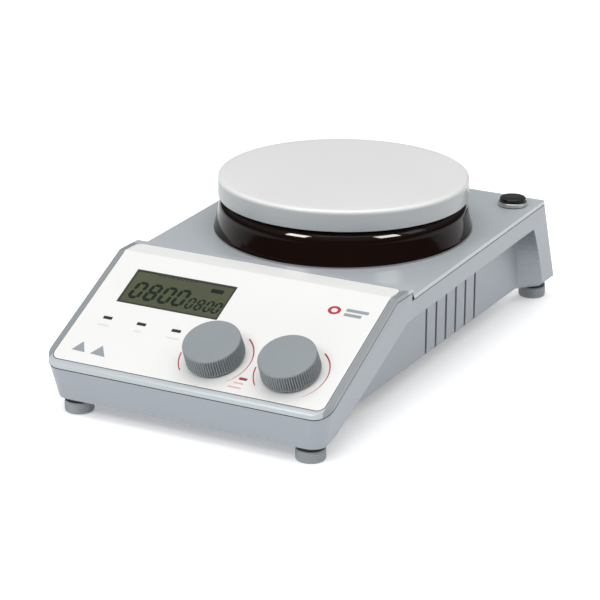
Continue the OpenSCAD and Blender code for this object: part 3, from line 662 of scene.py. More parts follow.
def softened(node: str, edge: Edge) -> bpy.types.Object:
    """Rebuilds a CAD node's surface with rounded edges and clean smooth shading.

    Args:
        node: The CAD node to rebuild and stand for.
        edge: How wide its edges are rounded.

    Returns:
        The new piece, riding on the node's body.
    """
    source = frame["nodes"][node]
    mesh = bmesh.new()
    mesh.from_mesh(source.data)
    bmesh.ops.remove_doubles(mesh, verts=mesh.verts, dist=WELD_M)
    bmesh.ops.dissolve_limit(
        mesh, angle_limit=math.radians(FLAT_DEG), verts=mesh.verts, edges=mesh.edges
    )
    piece = to_object(node + "_shell", mesh)
    bevel = piece.modifiers.new("edges", "BEVEL")
    bevel.limit_method = "ANGLE"
    bevel.angle_limit = math.radians(EDGE_DEG)
    bevel.width = edge.value * MM
    bevel.segments = EDGE_SEGMENTS
    bevel.miter_outer = "MITER_ARC"
    bevel.use_clamp_overlap = True
    weights = piece.modifiers.new("weights", "WEIGHTED_NORMAL")
    weights.keep_sharp = True
    settle(piece)
    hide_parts(node)
    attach(piece, source["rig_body"])
    return piece


def settle(piece: bpy.types.Object) -> None:
    """Applies a piece's modifiers to its mesh."""
    graph = bpy.context.evaluated_depsgraph_get()
    graph.update()
    final = bpy.data.meshes.new_from_object(
        piece.evaluated_get(graph), preserve_all_data_layers=True, depsgraph=graph
    )
    piece.modifiers.clear()
    piece.data = final


# Frame facts --------------------------------------------------------------------------


@dataclass(frozen=True)
class PanelPlane:
    """The sloping panel's own axes: x across, up the slope, and out of its surface."""

    origin: Vector
    up: Vector
    out: Vector

    @staticmethod
    def from_frame(joint_name: str) -> "PanelPlane":
        """Reads the plane from the joint of a knob that stands on it."""
        joint = next(j for j in frame["joints"] if j["name"] == joint_name)
        out = Vector(joint["axis"]).normalized()
        place = Vector(joint["pos_m"])
        return PanelPlane(Vector((0, place.y, place.z)), out.cross(Vector((1, 0, 0))), out)

    def matrix(self, across: float = 0.0, up: float = 0.0, out: float = 0.0) -> Matrix:
        """Placement of a piece on the plane."""
        right = Vector((1, 0, 0))
        place = self.origin + right * across + self.up * up + self.out * out
        turn = Matrix((right, self.up, self.out)).transposed().to_4x4()
        return Matrix.Translation(place) @ turn

    def local(self, point: Vector) -> Vector:
        """A point of the row frame in the plane's axes."""
        gap = point - self.origin
        return Vector((gap.x, gap.dot(self.up), gap.dot(self.out)))


def body_of_node(node: str) -> str:
    """Name of the body that a CAD node rides on."""
    return frame["nodes"][node]["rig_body"]


def stand_for(
    piece: bpy.types.Object, nodes: Iterable[str], slot: str, book: FinishBook
) -> bpy.types.Object:
    """Dresses a piece, puts it on its body and lets it stand for CAD nodes."""
    named = list(nodes)
    piece.data.materials.clear()
    piece.data.materials.append(book.get(slot))
    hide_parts(*named)
    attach(piece, body_of_node(named[0]))
    LOG.info("%s stands for %s", piece.name, ", ".join(named))
    return piece


# Sub-assemblies -----------------------------------------------------------------------


class Group(Enum):
    """Node groups that keep their CAD shape and only get a finish."""

    BASE = ("bottom_plate", "bottom_screws", "case_screws", "foot_screws",
            "rear_panel_screws")
    CONSOLE = ("display_module", "indicator_windows", "control_board", "control_board_posts",
               "encoder_bodies", "encoder_bushings", "encoder_nuts", "heat_plunger",
               "heat_shaft", "speed_plunger", "speed_shaft", "ribbon_cable")
    HEATER = ("heating_element", "insulation_disc", "heat_shield", "plate_standoffs",
              "temperature_sensor", "heater_leads", "skirt_seat_ring")
    DRIVE = ("chassis_plate", "chassis_posts", "motor_housing", "motor_stator",
             "motor_bearings", "motor_shaft", "motor_rotor", "magnet_carrier",
             "drive_magnets")
    POWER = ("power_board", "transformer", "heat_sink", "capacitors", "inlet_pins", "fuse")


def slot_of(node: str) -> str:
    """Material slot that the record names for a CAD node."""
    parts = frame["record"]["subparts"]
    return next(part["material_slot"] for part in parts if part["node"] == node)


def dress_nodes(nodes: Iterable[str], book: FinishBook) -> None:
    """Gives carried-over CAD nodes the finish that the record names for them."""
    for node in nodes:
        piece = frame["nodes"][node]
        finish = book.get(slot_of(node))
        if not piece.material_slots:
            piece.data.materials.append(finish)
        for held in piece.material_slots:
            held.material = finish
        LOG.info("%s keeps its CAD shape", node)


def soften_nodes(nodes: Iterable[str], edge: Edge, book: FinishBook) -> None:
    """Puts a piece with broken edges in the place of each CAD node."""
    for node in nodes:
        stand_for(softened(node, edge), [node], slot_of(node), book)


@dataclass
class Casing:
    """Silver cover, grey lower housing, a black strip painted along the seam between them as
    shadow, and the base plate.
    """

    book: FinishBook
    corner_mm: float = 9.0
    seam_shadow_mm: float = 0.42
    seam_shadow_depth_mm: float = 1.2
    proud_mm: float = 0.05
    seam_mm: tuple[Point2, ...] = (
        (117.5, 61.93), (-50.0, 58.19), (-52.2, 62.3), (-70.0, 62.3), (-146.0, 25.2),
    )

    def build(self) -> None:
        """Rounds the two shells' edges, lays the painted seam shadow and dresses the base."""
        soften_nodes(["upper_cover"], Edge.BODY, self.book)
        soften_nodes(["lower_housing"], Edge.MOULDED, self.book)
        self.build_seam_shadow()
        dress_nodes(Group.BASE.value, self.book)

    def seam_height(self, y: float) -> float:
        """Height of the seam, in millimetres."""
        for (y1, z1), (y0, z0) in zip(self.seam_mm, self.seam_mm[1:]):
            if y0 <= y <= y1:
                return z0 + (z1 - z0) * (y - y0) / (y1 - y0)
        return self.seam_mm[-1][1]

    def build_seam_shadow(self) -> None:
        """Lays a thin black strip along the seam, round the front and both sides, as painted
        shadow in the gap between the shells.
        """
        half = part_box("upper_cover")[1].x / MM + self.proud_mm
        front = self.seam_mm[-1][0] - self.proud_mm
        r = self.corner_mm
        side = [(half, y) for y, _ in self.seam_mm[:-1]]
        side += quarter((half - r, front + r), r, 0, -90, 12)
        path = side + [(-x, y) for x, y in reversed(side)]
        # Painted shadow: a black strip stands a little proud along the seam, where the gap
        # between the shells is in shade.
        mesh = bmesh.new()
        rings = []
        for x, y in path:
            inward = Vector((x, 0.0))
            if abs(x) < half - 0.01:
                inward = Vector((math.copysign(abs(x) - half + r, x), y - front - r))
            inward = inward.normalized() * self.seam_shadow_depth_mm
            deep = (x - inward.x, y - inward.y)
            low = self.seam_height(y) - self.seam_shadow_mm / 2
            high = low + self.seam_shadow_mm
            rings.append([
                mesh.verts.new((place[0] * MM, place[1] * MM, z * MM))
                for place, z in (((x, y), low), ((x, y), high), (deep, high), (deep, low))
            ])
        tube(mesh, rings)
        gap_shade = painted(to_object("seam_seal", mesh), self.book.get("neck_black"))
        LOG.info("seam_seal laid")


@dataclass
class Feet:
    """Four ribbed grey feet, each under a black neck."""

    book: FinishBook
    radii_mm: dict[str, float] = field(
        default_factory=lambda: {"feet": 7.6, "foot_necks": 7.4}
    )
    ribs: int = 4
    rib_mm: float = 0.16
    rib_shape: tuple[Point2, ...] = ((0.12, 1.0), (0.3, 0.0), (0.7, 0.0), (0.88, 1.0))
    edge_mm: float = 0.8
    bead_mm: float = 0.25

    def build(self) -> None:
        """Turns the feet and their necks."""
        self.build_set("feet", self.foot_profile)
        self.build_set("foot_necks", self.neck_profile)

    def build_set(
        self, node: str, profile: Callable[[float, float, float], list[Point2]]
    ) -> None:
        """Turns one part four times, at the corners of the CAD node's box.

        Args:
            node: The CAD node that holds the four parts.
            profile: Gives the outline from the radius and the lowest and highest height.
        """
        low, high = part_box(node)
        radius = self.radii_mm[node] * MM
        mesh = bmesh.new()
        for x in (low.x + radius, high.x - radius):
            for y in (low.y + radius, high.y - radius):
                start = len(mesh.verts)
                lathe(mesh, profile(radius, low.z, high.z), 64)
                mesh.verts.ensure_lookup_table()
                bmesh.ops.translate(mesh, vec=(x, y, 0), verts=mesh.verts[start:])
        stand_for(to_object(node + "_turned", mesh), [node], slot_of(node), self.book)

    def foot_profile(self, radius: float, low: float, high: float) -> list[Point2]:
        """Outline of a foot with shallow ribs round its side."""
        edge, rib = self.edge_mm * MM, self.rib_mm * MM
        wall = [(0.0, low), (radius - edge - rib, low)]
        wall += quarter((radius - edge - rib, low + edge), edge, -90, 0)
        step = (high - low - 2 * edge) / self.ribs
        for i in range(self.ribs):
            base = low + edge + step * i
            wall += [(radius - rib * sunk, base + step * t) for t, sunk in self.rib_shape]
        wall += quarter((radius - edge - rib, high - edge), edge, 0, 90)
        return wall + [(0.0, high)]

    def neck_profile(self, radius: float, low: float, high: float) -> list[Point2]:
        """Outline of a neck with a small bead at each end."""
        bead = self.bead_mm * MM
        wall = [(0.0, low), (radius - bead, low), (radius, low + bead)]
        wall += [(radius, low + 2 * bead), (radius - bead, low + 3 * bead)]
        wall += [(radius - bead, high - bead), (radius, high - bead / 2), (radius, high)]
        return wall + [(0.0, high)]


@dataclass
class Printer:
    """Lays thin printed marks on the sloping panel, given in millimetres from its top edge."""

    book: FinishBook
    plane: PanelPlane
    face_mm: float
    knob_row_mm: float = 60.4
    ink_mm: float = 0.03

    def lay(
        self, name: str, outlines: Iterable[Sequence[Point2]], ink: str, lift_mm: float = 0.0
    ) -> bpy.types.Object:
        """Prints a set of marks as one piece."""
        mesh = bmesh.new()
        low = (self.face_mm + lift_mm) * MM
        for outline in outlines:
            corners = [(x * MM, (self.knob_row_mm - s) * MM) for x, s in outline]
            prism(mesh, corners, low, low + self.ink_mm * MM)
        mesh.transform(self.plane.matrix())
        LOG.info("%s printed on the panel", name)
        return painted(to_object(name, mesh), self.book.get(ink))


@dataclass(frozen=True)
class Bar:
    """A printed bar in panel millimetres: its centre, its half sizes and its corners."""

    x: float
    s: float
    half_x: float
    half_s: float
    corner: float = 0.2

    def outline(self) -> list[Point2]:
        """Outline of the bar."""
        return shifted(box_outline(self.half_x, self.half_s, self.corner), self.x, self.s)


@dataclass(frozen=True)
class Arc:
    """A printed arc whose width tapers, centred on a knob; angles run from the right side."""

    start_deg: float
    end_deg: float
    start_mm: float
    end_mm: float
    radius_mm: float = 19.1
    steps: int = 28

    def outline(self, x: float, s: float) -> list[Point2]:
        """Outline of the arc.

        Args:
            x: Centre across the panel, in millimetres.
            s: Centre down the slope.

        Returns:
            The corners.
        """
        outer, inner = [], []
        for i in range(self.steps + 1):
            t = i / self.steps
            angle = math.radians(self.start_deg + (self.end_deg - self.start_deg) * t)
            half = (self.start_mm + (self.end_mm - self.start_mm) * t) / 2
            side = Vector((math.cos(angle), -math.sin(angle)))
            outer.append((x + side.x * (self.radius_mm + half),
                          s + side.y * (self.radius_mm + half)))
            inner.append((x + side.x * (self.radius_mm - half),
                          s + side.y * (self.radius_mm - half)))
        return outer + inner[::-1]


class Digit(Enum):
    """Lit segments of a number: top, upper right, lower right, foot, lower left, upper left,
    middle."""

    ZERO = "abcdef"
    EIGHT = "abcdefg"


@dataclass
class SegmentRow:
    """A row of slanted seven-segment numbers on the display's face."""

    digits: tuple[Digit, ...]
    centres: tuple[float, ...]
    top: float
    foot: float
    width: float
    bar_mm: float
    slant: float = 0.16
    gap_mm: float = 0.12

    def outlines(self, corner: Point2, size: Point2) -> list[list[Point2]]:
        """Bars of all the numbers, in panel millimetres."""
        return [
            outline
            for digit, centre in zip(self.digits, self.centres)
            for outline in self.bars(digit, corner, size, centre)
        ]

    def bars(
        self, digit: Digit, corner: Point2, size: Point2, centre: float
    ) -> list[list[Point2]]:
        """Bars of one number.

        Args:
            digit: The number.
            corner: The display's top left corner.
            size: Its width and height.
            centre: Where the number stands across the display, from 0 to 1.

        Returns:
            The outlines.
        """
        half = self.width * size[0] / 2
        x = corner[0] + centre * size[0]
        top, foot = corner[1] + self.top * size[1], corner[1] + self.foot * size[1]
        middle = (top + foot) / 2

        def at(side: float, s: float) -> Point2:
            """A corner of the number, leaning with it."""
            return (x + side * half + (middle - s) * self.slant, s)

        ends = {
            "a": (at(-1, top), at(1, top)), "b": (at(1, top), at(1, middle)),
            "c": (at(1, middle), at(1, foot)), "d": (at(-1, foot), at(1, foot)),
            "e": (at(-1, middle), at(-1, foot)), "f": (at(-1, top), at(-1, middle)),
            "g": (at(-1, middle), at(1, middle)),
        }
        return [self.bar(*ends[key]) for key in digit.value]

    def bar(self, start: Point2, end: Point2) -> list[Point2]:
        """One bar, shortened so that it stays clear of its neighbours."""
        along = Vector((end[0] - start[0], end[1] - start[1])).normalized() * self.gap_mm
        return pointed_bar(
            (start[0] + along.x, start[1] + along.y),
            (end[0] - along.x, end[1] - along.y),
            self.bar_mm,
        )


@dataclass
class Display:
    """Olive display with a dark rebate round it and its numbers."""

    book: FinishBook
    plane: PanelPlane
    printer: Printer
    rebate_mm: tuple[float, float] = (0.9, 1.1)
    rebate_top_mm: float = 0.16
    face_mm: float = -0.06
    corner_mm: float = 0.5
    inset_mm: float = 0.2
    pane_mm: float = 0.94
    slope_mm: float = 0.05
    block_at: Point2 = (0.845, 0.215)
    tick_at: Point2 = (0.24, 0.075)
    tick_step: float = 0.045
    ticks: int = 9
    rows: tuple[SegmentRow, ...] = (
        SegmentRow((Digit.ZERO, Digit.EIGHT, Digit.ZERO, Digit.ZERO),
                   (0.13, 0.275, 0.42, 0.56), 0.36, 0.80, 0.084, 1.95),
        SegmentRow((Digit.ZERO, Digit.EIGHT, Digit.ZERO, Digit.ZERO),
                   (0.675, 0.765, 0.855, 0.935), 0.53, 0.82, 0.05, 1.25),
    )

    def build(self) -> None:
        """Builds the display's pieces."""
        low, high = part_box("display_window")
        self.centre = self.plane.local((low + high) / 2)
        self.half = (
            (high.x - low.x) / 2,
            (high.y - low.y) / 2 / abs(self.plane.up.y) - self.inset_mm * MM,
        )
        self.build_face()
        self.build_rebate()
        self.build_numbers()

    def build_face(self) -> None:
        """Builds the olive pane in the panel's opening."""
        mesh = bmesh.new()
        outline = box_outline(self.half[0], self.half[1], self.corner_mm * MM)
        top = self.face_mm * MM
        prism(mesh, shifted(outline, self.centre.x, self.centre.y), top - self.pane_mm * MM,
              top)
        mesh.transform(self.plane.matrix())
        stand_for(to_object("display_pane", mesh), ["display_window"], "display_glass",
                  self.book)

    def build_rebate(self) -> None:
        """Builds the dark frame between the pane and the panel."""
        mesh = bmesh.new()
        outer = box_outline(self.half[0], self.half[1], self.corner_mm * MM)
        inner = box_outline(self.half[0] - self.rebate_mm[0] * MM,
                            self.half[1] - self.rebate_mm[1] * MM, self.corner_mm * MM)
        top = self.rebate_top_mm * MM
        rings = [
            [mesh.verts.new((x + self.centre.x, y + self.centre.y, z)) for x, y in outline]
            for outline, z in ((outer, self.face_mm * MM), (outer, top),
                               (inner, top - self.slope_mm * MM),
                               (inner, self.face_mm * MM))
        ]
        bridge(mesh, rings)
        mesh.transform(self.plane.matrix())
        piece = painted(to_object("display_rebate", mesh), self.book.get("display_body"))

    def build_numbers(self) -> None:
        """Lays the numbers and the small mode block on the pane."""
        row = self.printer.knob_row_mm
        size = (2 * self.half[0] / MM, 2 * self.half[1] / MM)
        corner = (self.centre.x / MM - size[0] / 2, row - self.centre.y / MM - size[1] / 2)
        lift = self.face_mm - self.printer.face_mm
        bars = [bar for digits in self.rows for bar in digits.outlines(corner, size)]
        block = Bar(corner[0] + self.block_at[0] * size[0],
                    corner[1] + self.block_at[1] * size[1], 3.6, 1.4, 0.3)
        ticks = [
            Bar(corner[0] + (self.tick_at[0] + self.tick_step * i) * size[0],
                corner[1] + self.tick_at[1] * size[1], 0.9, 0.16, 0.05)
            for i in range(self.ticks)
        ]
        for name, marks in (("display_numbers", bars),
                            ("display_mode_block", [block.outline()]),
                            ("display_ticks", [tick.outline() for tick in ticks])):
            self.printer.lay(name, marks, "segment_dark", lift)


@dataclass
class Console:
    """White control panel with its display, indicator windows and printed marks."""

    book: FinishBook
    plane: PanelPlane
    printer: Printer
    knobs_mm: tuple[float, float] = (8.0, 50.2)
    panel_half_mm: float = 76.9
    panel_foot_mm: float = 81.4
    panel_len_mm: float = 94.4
    panel_corner_mm: float = 4.0
    joint_mm: float = 0.3
    joint_foot_mm: float = 0.02
    joint_top_mm: float = 0.12
    long_mm: float = 20.0
    long_steps: int = 8
    arcs: tuple[Arc, ...] = (Arc(-176.0, -137.0, 0.7, 0.55), Arc(55.0, -48.0, 0.85, 0.18))
    indicator_bars: tuple[Bar, ...] = (
        Bar(-61.0, 53.9, 3.3, 0.5), Bar(-41.0, 53.9, 2.2, 0.5), Bar(-20.4, 53.9, 3.6, 0.5),
    )
    triangles: tuple[tuple[Point2, ...], ...] = (
        ((-68.7, 73.8), (-65.1, 67.1), (-60.9, 74.1)),
        ((-57.7, 74.1), (-53.6, 67.5), (-48.8, 74.7)),
    )
    push_dash: tuple[Bar, ...] = (Bar(28.5, 70.9, 2.2, 0.55),)
    push_bars: tuple[Bar, ...] = (Bar(27.6, 74.2, 2.6, 0.42), Bar(26.6, 77.2, 3.7, 0.42))
    emblem_mm: Point2 = (52.6, 15.3)
    emblem_half_mm: Point2 = (3.5, 2.9)
    emblem_hole: float = 0.5
    emblem_bars: tuple[Bar, ...] = (
        Bar(64.8, 13.7, 6.2, 1.0, 0.4), Bar(63.4, 16.9, 4.8, 1.0, 0.4),
    )

    def build(self) -> None:
        """Builds the panel and everything printed on it."""
        soften_nodes(["control_panel"], Edge.CRISP, self.book)
        Display(self.book, self.plane, self.printer).build()
        self.build_prints()
        self.build_gap_shadow()
        dress_nodes(Group.CONSOLE.value, self.book)

    def unrolled(self, x: float, s: float, lift: float) -> Vector:
        """Turns a place on the unrolled console into a point."""
        row = self.printer.knob_row_mm
        if s >= 0:
            return self.plane.matrix() @ Vector((x * MM, (row - s) * MM, lift * MM))
        edge = self.plane.matrix() @ Vector((x * MM, row * MM, 0))
        return edge + Vector((0, -s * MM, lift * MM))

    def build_gap_shadow(self) -> None:
        """Lays a thin black strip round the white panel, as painted shadow in the gap at its
        edge.
        """
        half = self.panel_len_mm / 2
        centre = self.panel_foot_mm - half
        mesh = bmesh.new()
        rings = []
        for grow, lift in ((0.0, self.joint_foot_mm), (0.0, self.joint_top_mm),
                           (self.joint_mm, self.joint_top_mm),
                           (self.joint_mm, self.joint_foot_mm)):
            corners = box_outline(self.panel_half_mm + grow, half + grow,
                                  self.panel_corner_mm + grow, 8)
            line = []
            for (x0, y0), (x1, y1) in zip(corners, corners[1:] + corners[:1]):
                count = self.long_steps if abs(y1 - y0) > self.long_mm else 1
                for i in range(count):
                    t = i / count
                    line.append(mesh.verts.new(self.unrolled(
                        x0 + (x1 - x0) * t, centre + y0 + (y1 - y0) * t, lift)))
            rings.append(line)
        bridge(mesh, rings)
        # Painted shadow: black strip in the gap round the panel.
        painted(to_object("panel_joint", mesh), self.book.get("neck_black"))

    def build_prints(self) -> None:
        """Prints the arcs, bars, triangles and the plain emblem."""
        row = self.printer.knob_row_mm
        arcs = [arc.outline(x, row) for arc in self.arcs for x in self.knobs_mm]
        self.printer.lay("knob_arcs", arcs, "ink_red")
        self.lay_bars("indicator_bars", self.indicator_bars, "ink_pale_grey")
        self.printer.lay("grey_triangles", self.triangles, "ink_grey")
        self.lay_bars("push_dash", self.push_dash, "ink_red")
        self.lay_bars("push_bars", self.push_bars, "ink_pale_red")
        self.build_ring()
        self.lay_bars("emblem_bars", self.emblem_bars, "ink_grey")

    def lay_bars(self, name: str, bars: Iterable[Bar], ink: str) -> None:
        """Prints a set of bars as one piece."""
        self.printer.lay(name, [bar.outline() for bar in bars], ink)

    def build_ring(self) -> None:
        """Prints the plain ring in the panel's top corner."""
        x, s = self.emblem_mm
        turns = [2 * math.pi * i / 40 for i in range(40)]
        outer = [(self.emblem_half_mm[0] * math.cos(a), self.emblem_half_mm[1] * math.sin(a))
                 for a in turns]
        mesh = bmesh.new()
        low = self.printer.face_mm
        top = low + self.printer.ink_mm
        up = self.printer.knob_row_mm - s
        rings = [
            [mesh.verts.new(((x + dx * k) * MM, (up + dy * k) * MM, h * MM))
             for dx, dy in outer]
            for k, h in ((1.0, low), (1.0, top), (self.emblem_hole, top),
                         (self.emblem_hole, low))
        ]
        bridge(mesh, rings)
        mesh.transform(self.plane.matrix())
        painted(to_object("emblem_ring", mesh), self.book.get("ink_red"))


@dataclass
class Knob:
    """Round push knob with fine flutes round its side, hollow below."""

    book: FinishBook
    plane: PanelPlane
    node: str
    flutes: int = 72
    per_flute: int = 6
    radius_mm: float = 15.2
    height_mm: float = 10.2
    gap_mm: float = 1.2
    flute_mm: float = 1.25
    edge_mm: float = 0.9
    flare_mm: float = 0.35
    bore_mm: float = 3.02
    bore_top_mm: float = 7.6
    collar_mm: float = 5.2
    collar_foot_mm: float = 1.6
    cavity_mm: float = 12.8
    cavity_top_mm: float = 7.0
    sole_mm: float = 0.05

    def build(self) -> None:
        """Builds the knob and puts it on its body."""
        low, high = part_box(self.node)
        centre = self.plane.local((low + high) / 2)
        mesh = bmesh.new()
        steps = self.flutes * self.per_flute
        rings = [
            [self.point(mesh, i / steps, radius, height, cut) for i in range(steps)]
            for radius, height, cut in self.levels()
        ]
        tube(mesh, rings)
        mesh.transform(self.plane.matrix(centre.x, 0.0, self.gap_mm * MM))
        name = self.node + "_fluted"
        stand_for(to_object(name, mesh, 40.0), [self.node], "knob_grey", self.book)

    def levels(self) -> list[tuple[float, float, float]]:
        """Radius, height and flute depth of each ring, from the shaft bore to the top."""
        r, h, edge = self.radius_mm, self.height_mm, self.edge_mm
        hollow = [(self.bore_mm, self.bore_top_mm), (self.bore_mm, self.collar_foot_mm),
                  (self.collar_mm, self.collar_foot_mm), (self.collar_mm, self.cavity_top_mm),
                  (self.cavity_mm, self.cavity_top_mm), (self.cavity_mm, self.sole_mm)]
        side = [(r - 0.5, 0.0, 0.0), (r - 0.12, 0.18, 0.0), (r, 0.5, 0.3), (r, 0.9, 1.0),
                (r - self.flare_mm * 0.8, h - edge - 0.9, 1.0),
                (r - self.flare_mm, h - edge - 0.1, 0.35)]
        top = quarter((r - self.flare_mm - edge, h - edge), edge, 8, 90, 7)
        crown = [(r * 0.8, h), (r * 0.5, h - 0.04), (r * 0.2, h - 0.06)]
        return (
            [(radius, height, 0.0) for radius, height in hollow]
            + [(radius, height, cut * self.flute_mm) for radius, height, cut in side]
            + [(radius, height, 0.0) for radius, height in top + crown]
        )

    def point(
        self, mesh: bmesh.types.BMesh, turn: float, radius: float, height: float, cut: float
    ) -> bmesh.types.BMVert:
        """Adds a point of a ring, sunk where a flute runs."""
        phase = (turn * self.flutes) % 1.0
        groove = max(0.0, math.cos(2 * math.pi * phase)) ** 0.8
        reach = (radius - cut * groove) * MM
        angle = 2 * math.pi * turn
        return mesh.verts.new((reach * math.cos(angle), reach * math.sin(angle), height * MM))


@dataclass
class Hotplate:
    """White work plate over a glossy flared skirt."""

    book: FinishBook
    rim_mm: float = 4.5
    sheet_mm: float = 6.0
    edge_mm: float = 1.8
    lip_mm: float = 0.5
    skirt_top_mm: float = 66.3
    skirt_flare_mm: float = 4.4
    shoulder_mm: float = 6.5
    skirt_wall_mm: float = 1.4
    flare_span_mm: float = 20.55
    flare_power: float = 1.15
    cover_slope_deg: float = 1.28
    skirt_hem_mm: float = 0.4
    hem_rise_mm: float = 0.3
    shoulder_deg: tuple[float, float] = (13.0, 84.0)
    wall_steps: int = 14
    steps: int = 192

    def build(self) -> None:
        """Builds the hotplate."""
        self.low, self.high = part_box("work_plate")
        self.centre = (self.low + self.high) / 2
        self.build_plate()
        self.build_skirt()
        dress_nodes(Group.HEATER.value, self.book)

    def build_plate(self) -> None:
        """Turns the plate with its down-turned rim."""
        radius = (self.high.x - self.low.x) / 2
        top, foot = self.high.z, self.low.z
        edge, lip = self.edge_mm * MM, self.lip_mm * MM
        inside = radius - self.rim_mm * MM
        profile = [(0.0, top - self.sheet_mm * MM), (inside, top - self.sheet_mm * MM),
                   (inside, foot)]
        profile += quarter((radius - lip, foot + lip), lip, -90, 0, 4)
        profile += quarter((radius - edge, top - edge), edge, 0, 90, 10)
        profile += [(radius * 0.9, top), (radius * 0.5, top), (0.0, top)]
        plate = turned("work_plate_turned", profile, self.centre, self.steps)
        stand_for(plate, ["work_plate"], "plate_ceramic", self.book)

    def build_skirt(self) -> None:
        """Builds the skirt, whose foot follows the slope of the cover."""
        low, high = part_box("heater_skirt")
        half = (high.y - low.y) / 2
        slope = math.tan(math.radians(self.cover_slope_deg))
        mesh = bmesh.new()
        columns = []
        for i in range(self.steps):
            angle = 2 * math.pi * i / self.steps
            side = Vector((math.cos(angle), math.sin(angle)))
            foot = low.z + (side.y + 1.0) * half * slope
            columns.append([
                mesh.verts.new((self.centre.x + radius * side.x,
                                self.centre.y + radius * side.y, height))
                for radius, height in self.skirt_outline(foot, high.z)
            ])
        bridge(mesh, list(zip(*columns)))
        stand_for(to_object("heater_skirt_turned", mesh, 60.0), ["heater_skirt"],
                  "skirt_black", self.book)

    def skirt_outline(self, foot: float, top: float) -> list[Point2]:
        """Section of the skirt's wall, up its outer face and down its inner one."""
        shoulder, hem = self.shoulder_mm * MM, self.skirt_hem_mm * MM
        tall = top - shoulder - foot
        heights = [foot + tall * k / self.wall_steps for k in range(self.wall_steps + 1)]
        outer = [(self.radius_at(height, top), height) for height in heights]
        outer += quarter((outer[-1][0] - shoulder, top - shoulder), shoulder,
                         *self.shoulder_deg, 12)
        wide = outer[0][0]
        outer[:1] = [(wide - hem, foot), (wide, foot + self.hem_rise_mm * MM)]
        return outer + [(radius - self.skirt_wall_mm * MM, h) for radius, h in outer[::-1]]

    def radius_at(self, height: float, top: float) -> float:
        """The skirt's outer radius at a height."""
        t = min(max(1.0 - (top - height) / (self.flare_span_mm * MM), 0.0), 1.0)
        return (self.skirt_top_mm + self.skirt_flare_mm * (1.0 - t) ** self.flare_power) * MM


@dataclass
class RodSocket:
    """Plated boss and its glossy dished cap."""

    book: FinishBook
    dish_mm: float = 0.7
    edge_mm: float = 0.9
    bore_mm: float = 5.7
    sleeve_mm: float = 6.9
    gap_mm: float = 0.02
    lead_mm: float = 0.3

    def build(self) -> None:
        """Rounds the boss and turns the cap."""
        soften_nodes(["rod_socket"], Edge.CRISP, self.book)
        low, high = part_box("rod_cap")
        radius = (high.x - low.x) / 2
        boss_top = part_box("rod_socket")[1].z + self.gap_mm * MM
        bore, sleeve = self.bore_mm * MM, self.sleeve_mm * MM
        edge, dish = self.edge_mm * MM, self.dish_mm * MM
        profile = [(0.0, boss_top), (bore, boss_top), (bore, low.z), (sleeve, low.z),
                   (sleeve, boss_top), (radius - self.lead_mm * MM, boss_top)]
        profile += quarter((radius - edge, high.z - edge), edge, -20, 90, 8)
        profile += [(radius * (0.78 - 0.078 * i), high.z - dish * math.sin(math.pi / 20 * i))
                    for i in range(10)]
        profile += [(0.0, high.z - dish)]
        cap = turned("rod_cap_turned", profile, (low + high) / 2, 96)
        stand_for(cap, ["rod_cap"], "cap_black", self.book)


@dataclass
class RearConnectors:
    """Panel between the rear legs with the inlet, switch, probe socket and data port."""

    book: FinishBook

    def build(self) -> None:
        """Breaks the connectors' edges and dresses what stands behind them."""
        soften_nodes(["rear_panel", "data_port", "sensor_socket"], Edge.CRISP, self.book)
        soften_nodes(["power_inlet", "fuse_drawer", "switch_frame", "switch_rocker"],
                     Edge.FINE, self.book)
        dress_nodes(Group.POWER.value, self.book)
        dress_nodes(Group.DRIVE.value, self.book)


# Studio -------------------------------------------------------------------------------


@dataclass(frozen=True)
class SoftBox:
    """A square soft box that faces the object."""

    name: str
    azimuth_deg: float
    height_deg: float
    distance: float
    side: float
    watts: float
    colour: Colour = (1.0, 1.0, 1.0)
    only_on: tuple[str, ...] = ()

    def place(self, aim: Vector) -> Vector:
        """Where the box hangs."""
        turn, lift = math.radians(self.azimuth_deg), math.radians(self.height_deg)
        flat = math.cos(lift)
        way = Vector((math.sin(turn) * flat, -math.cos(turn) * flat, math.sin(lift)))
        return aim + way * self.distance


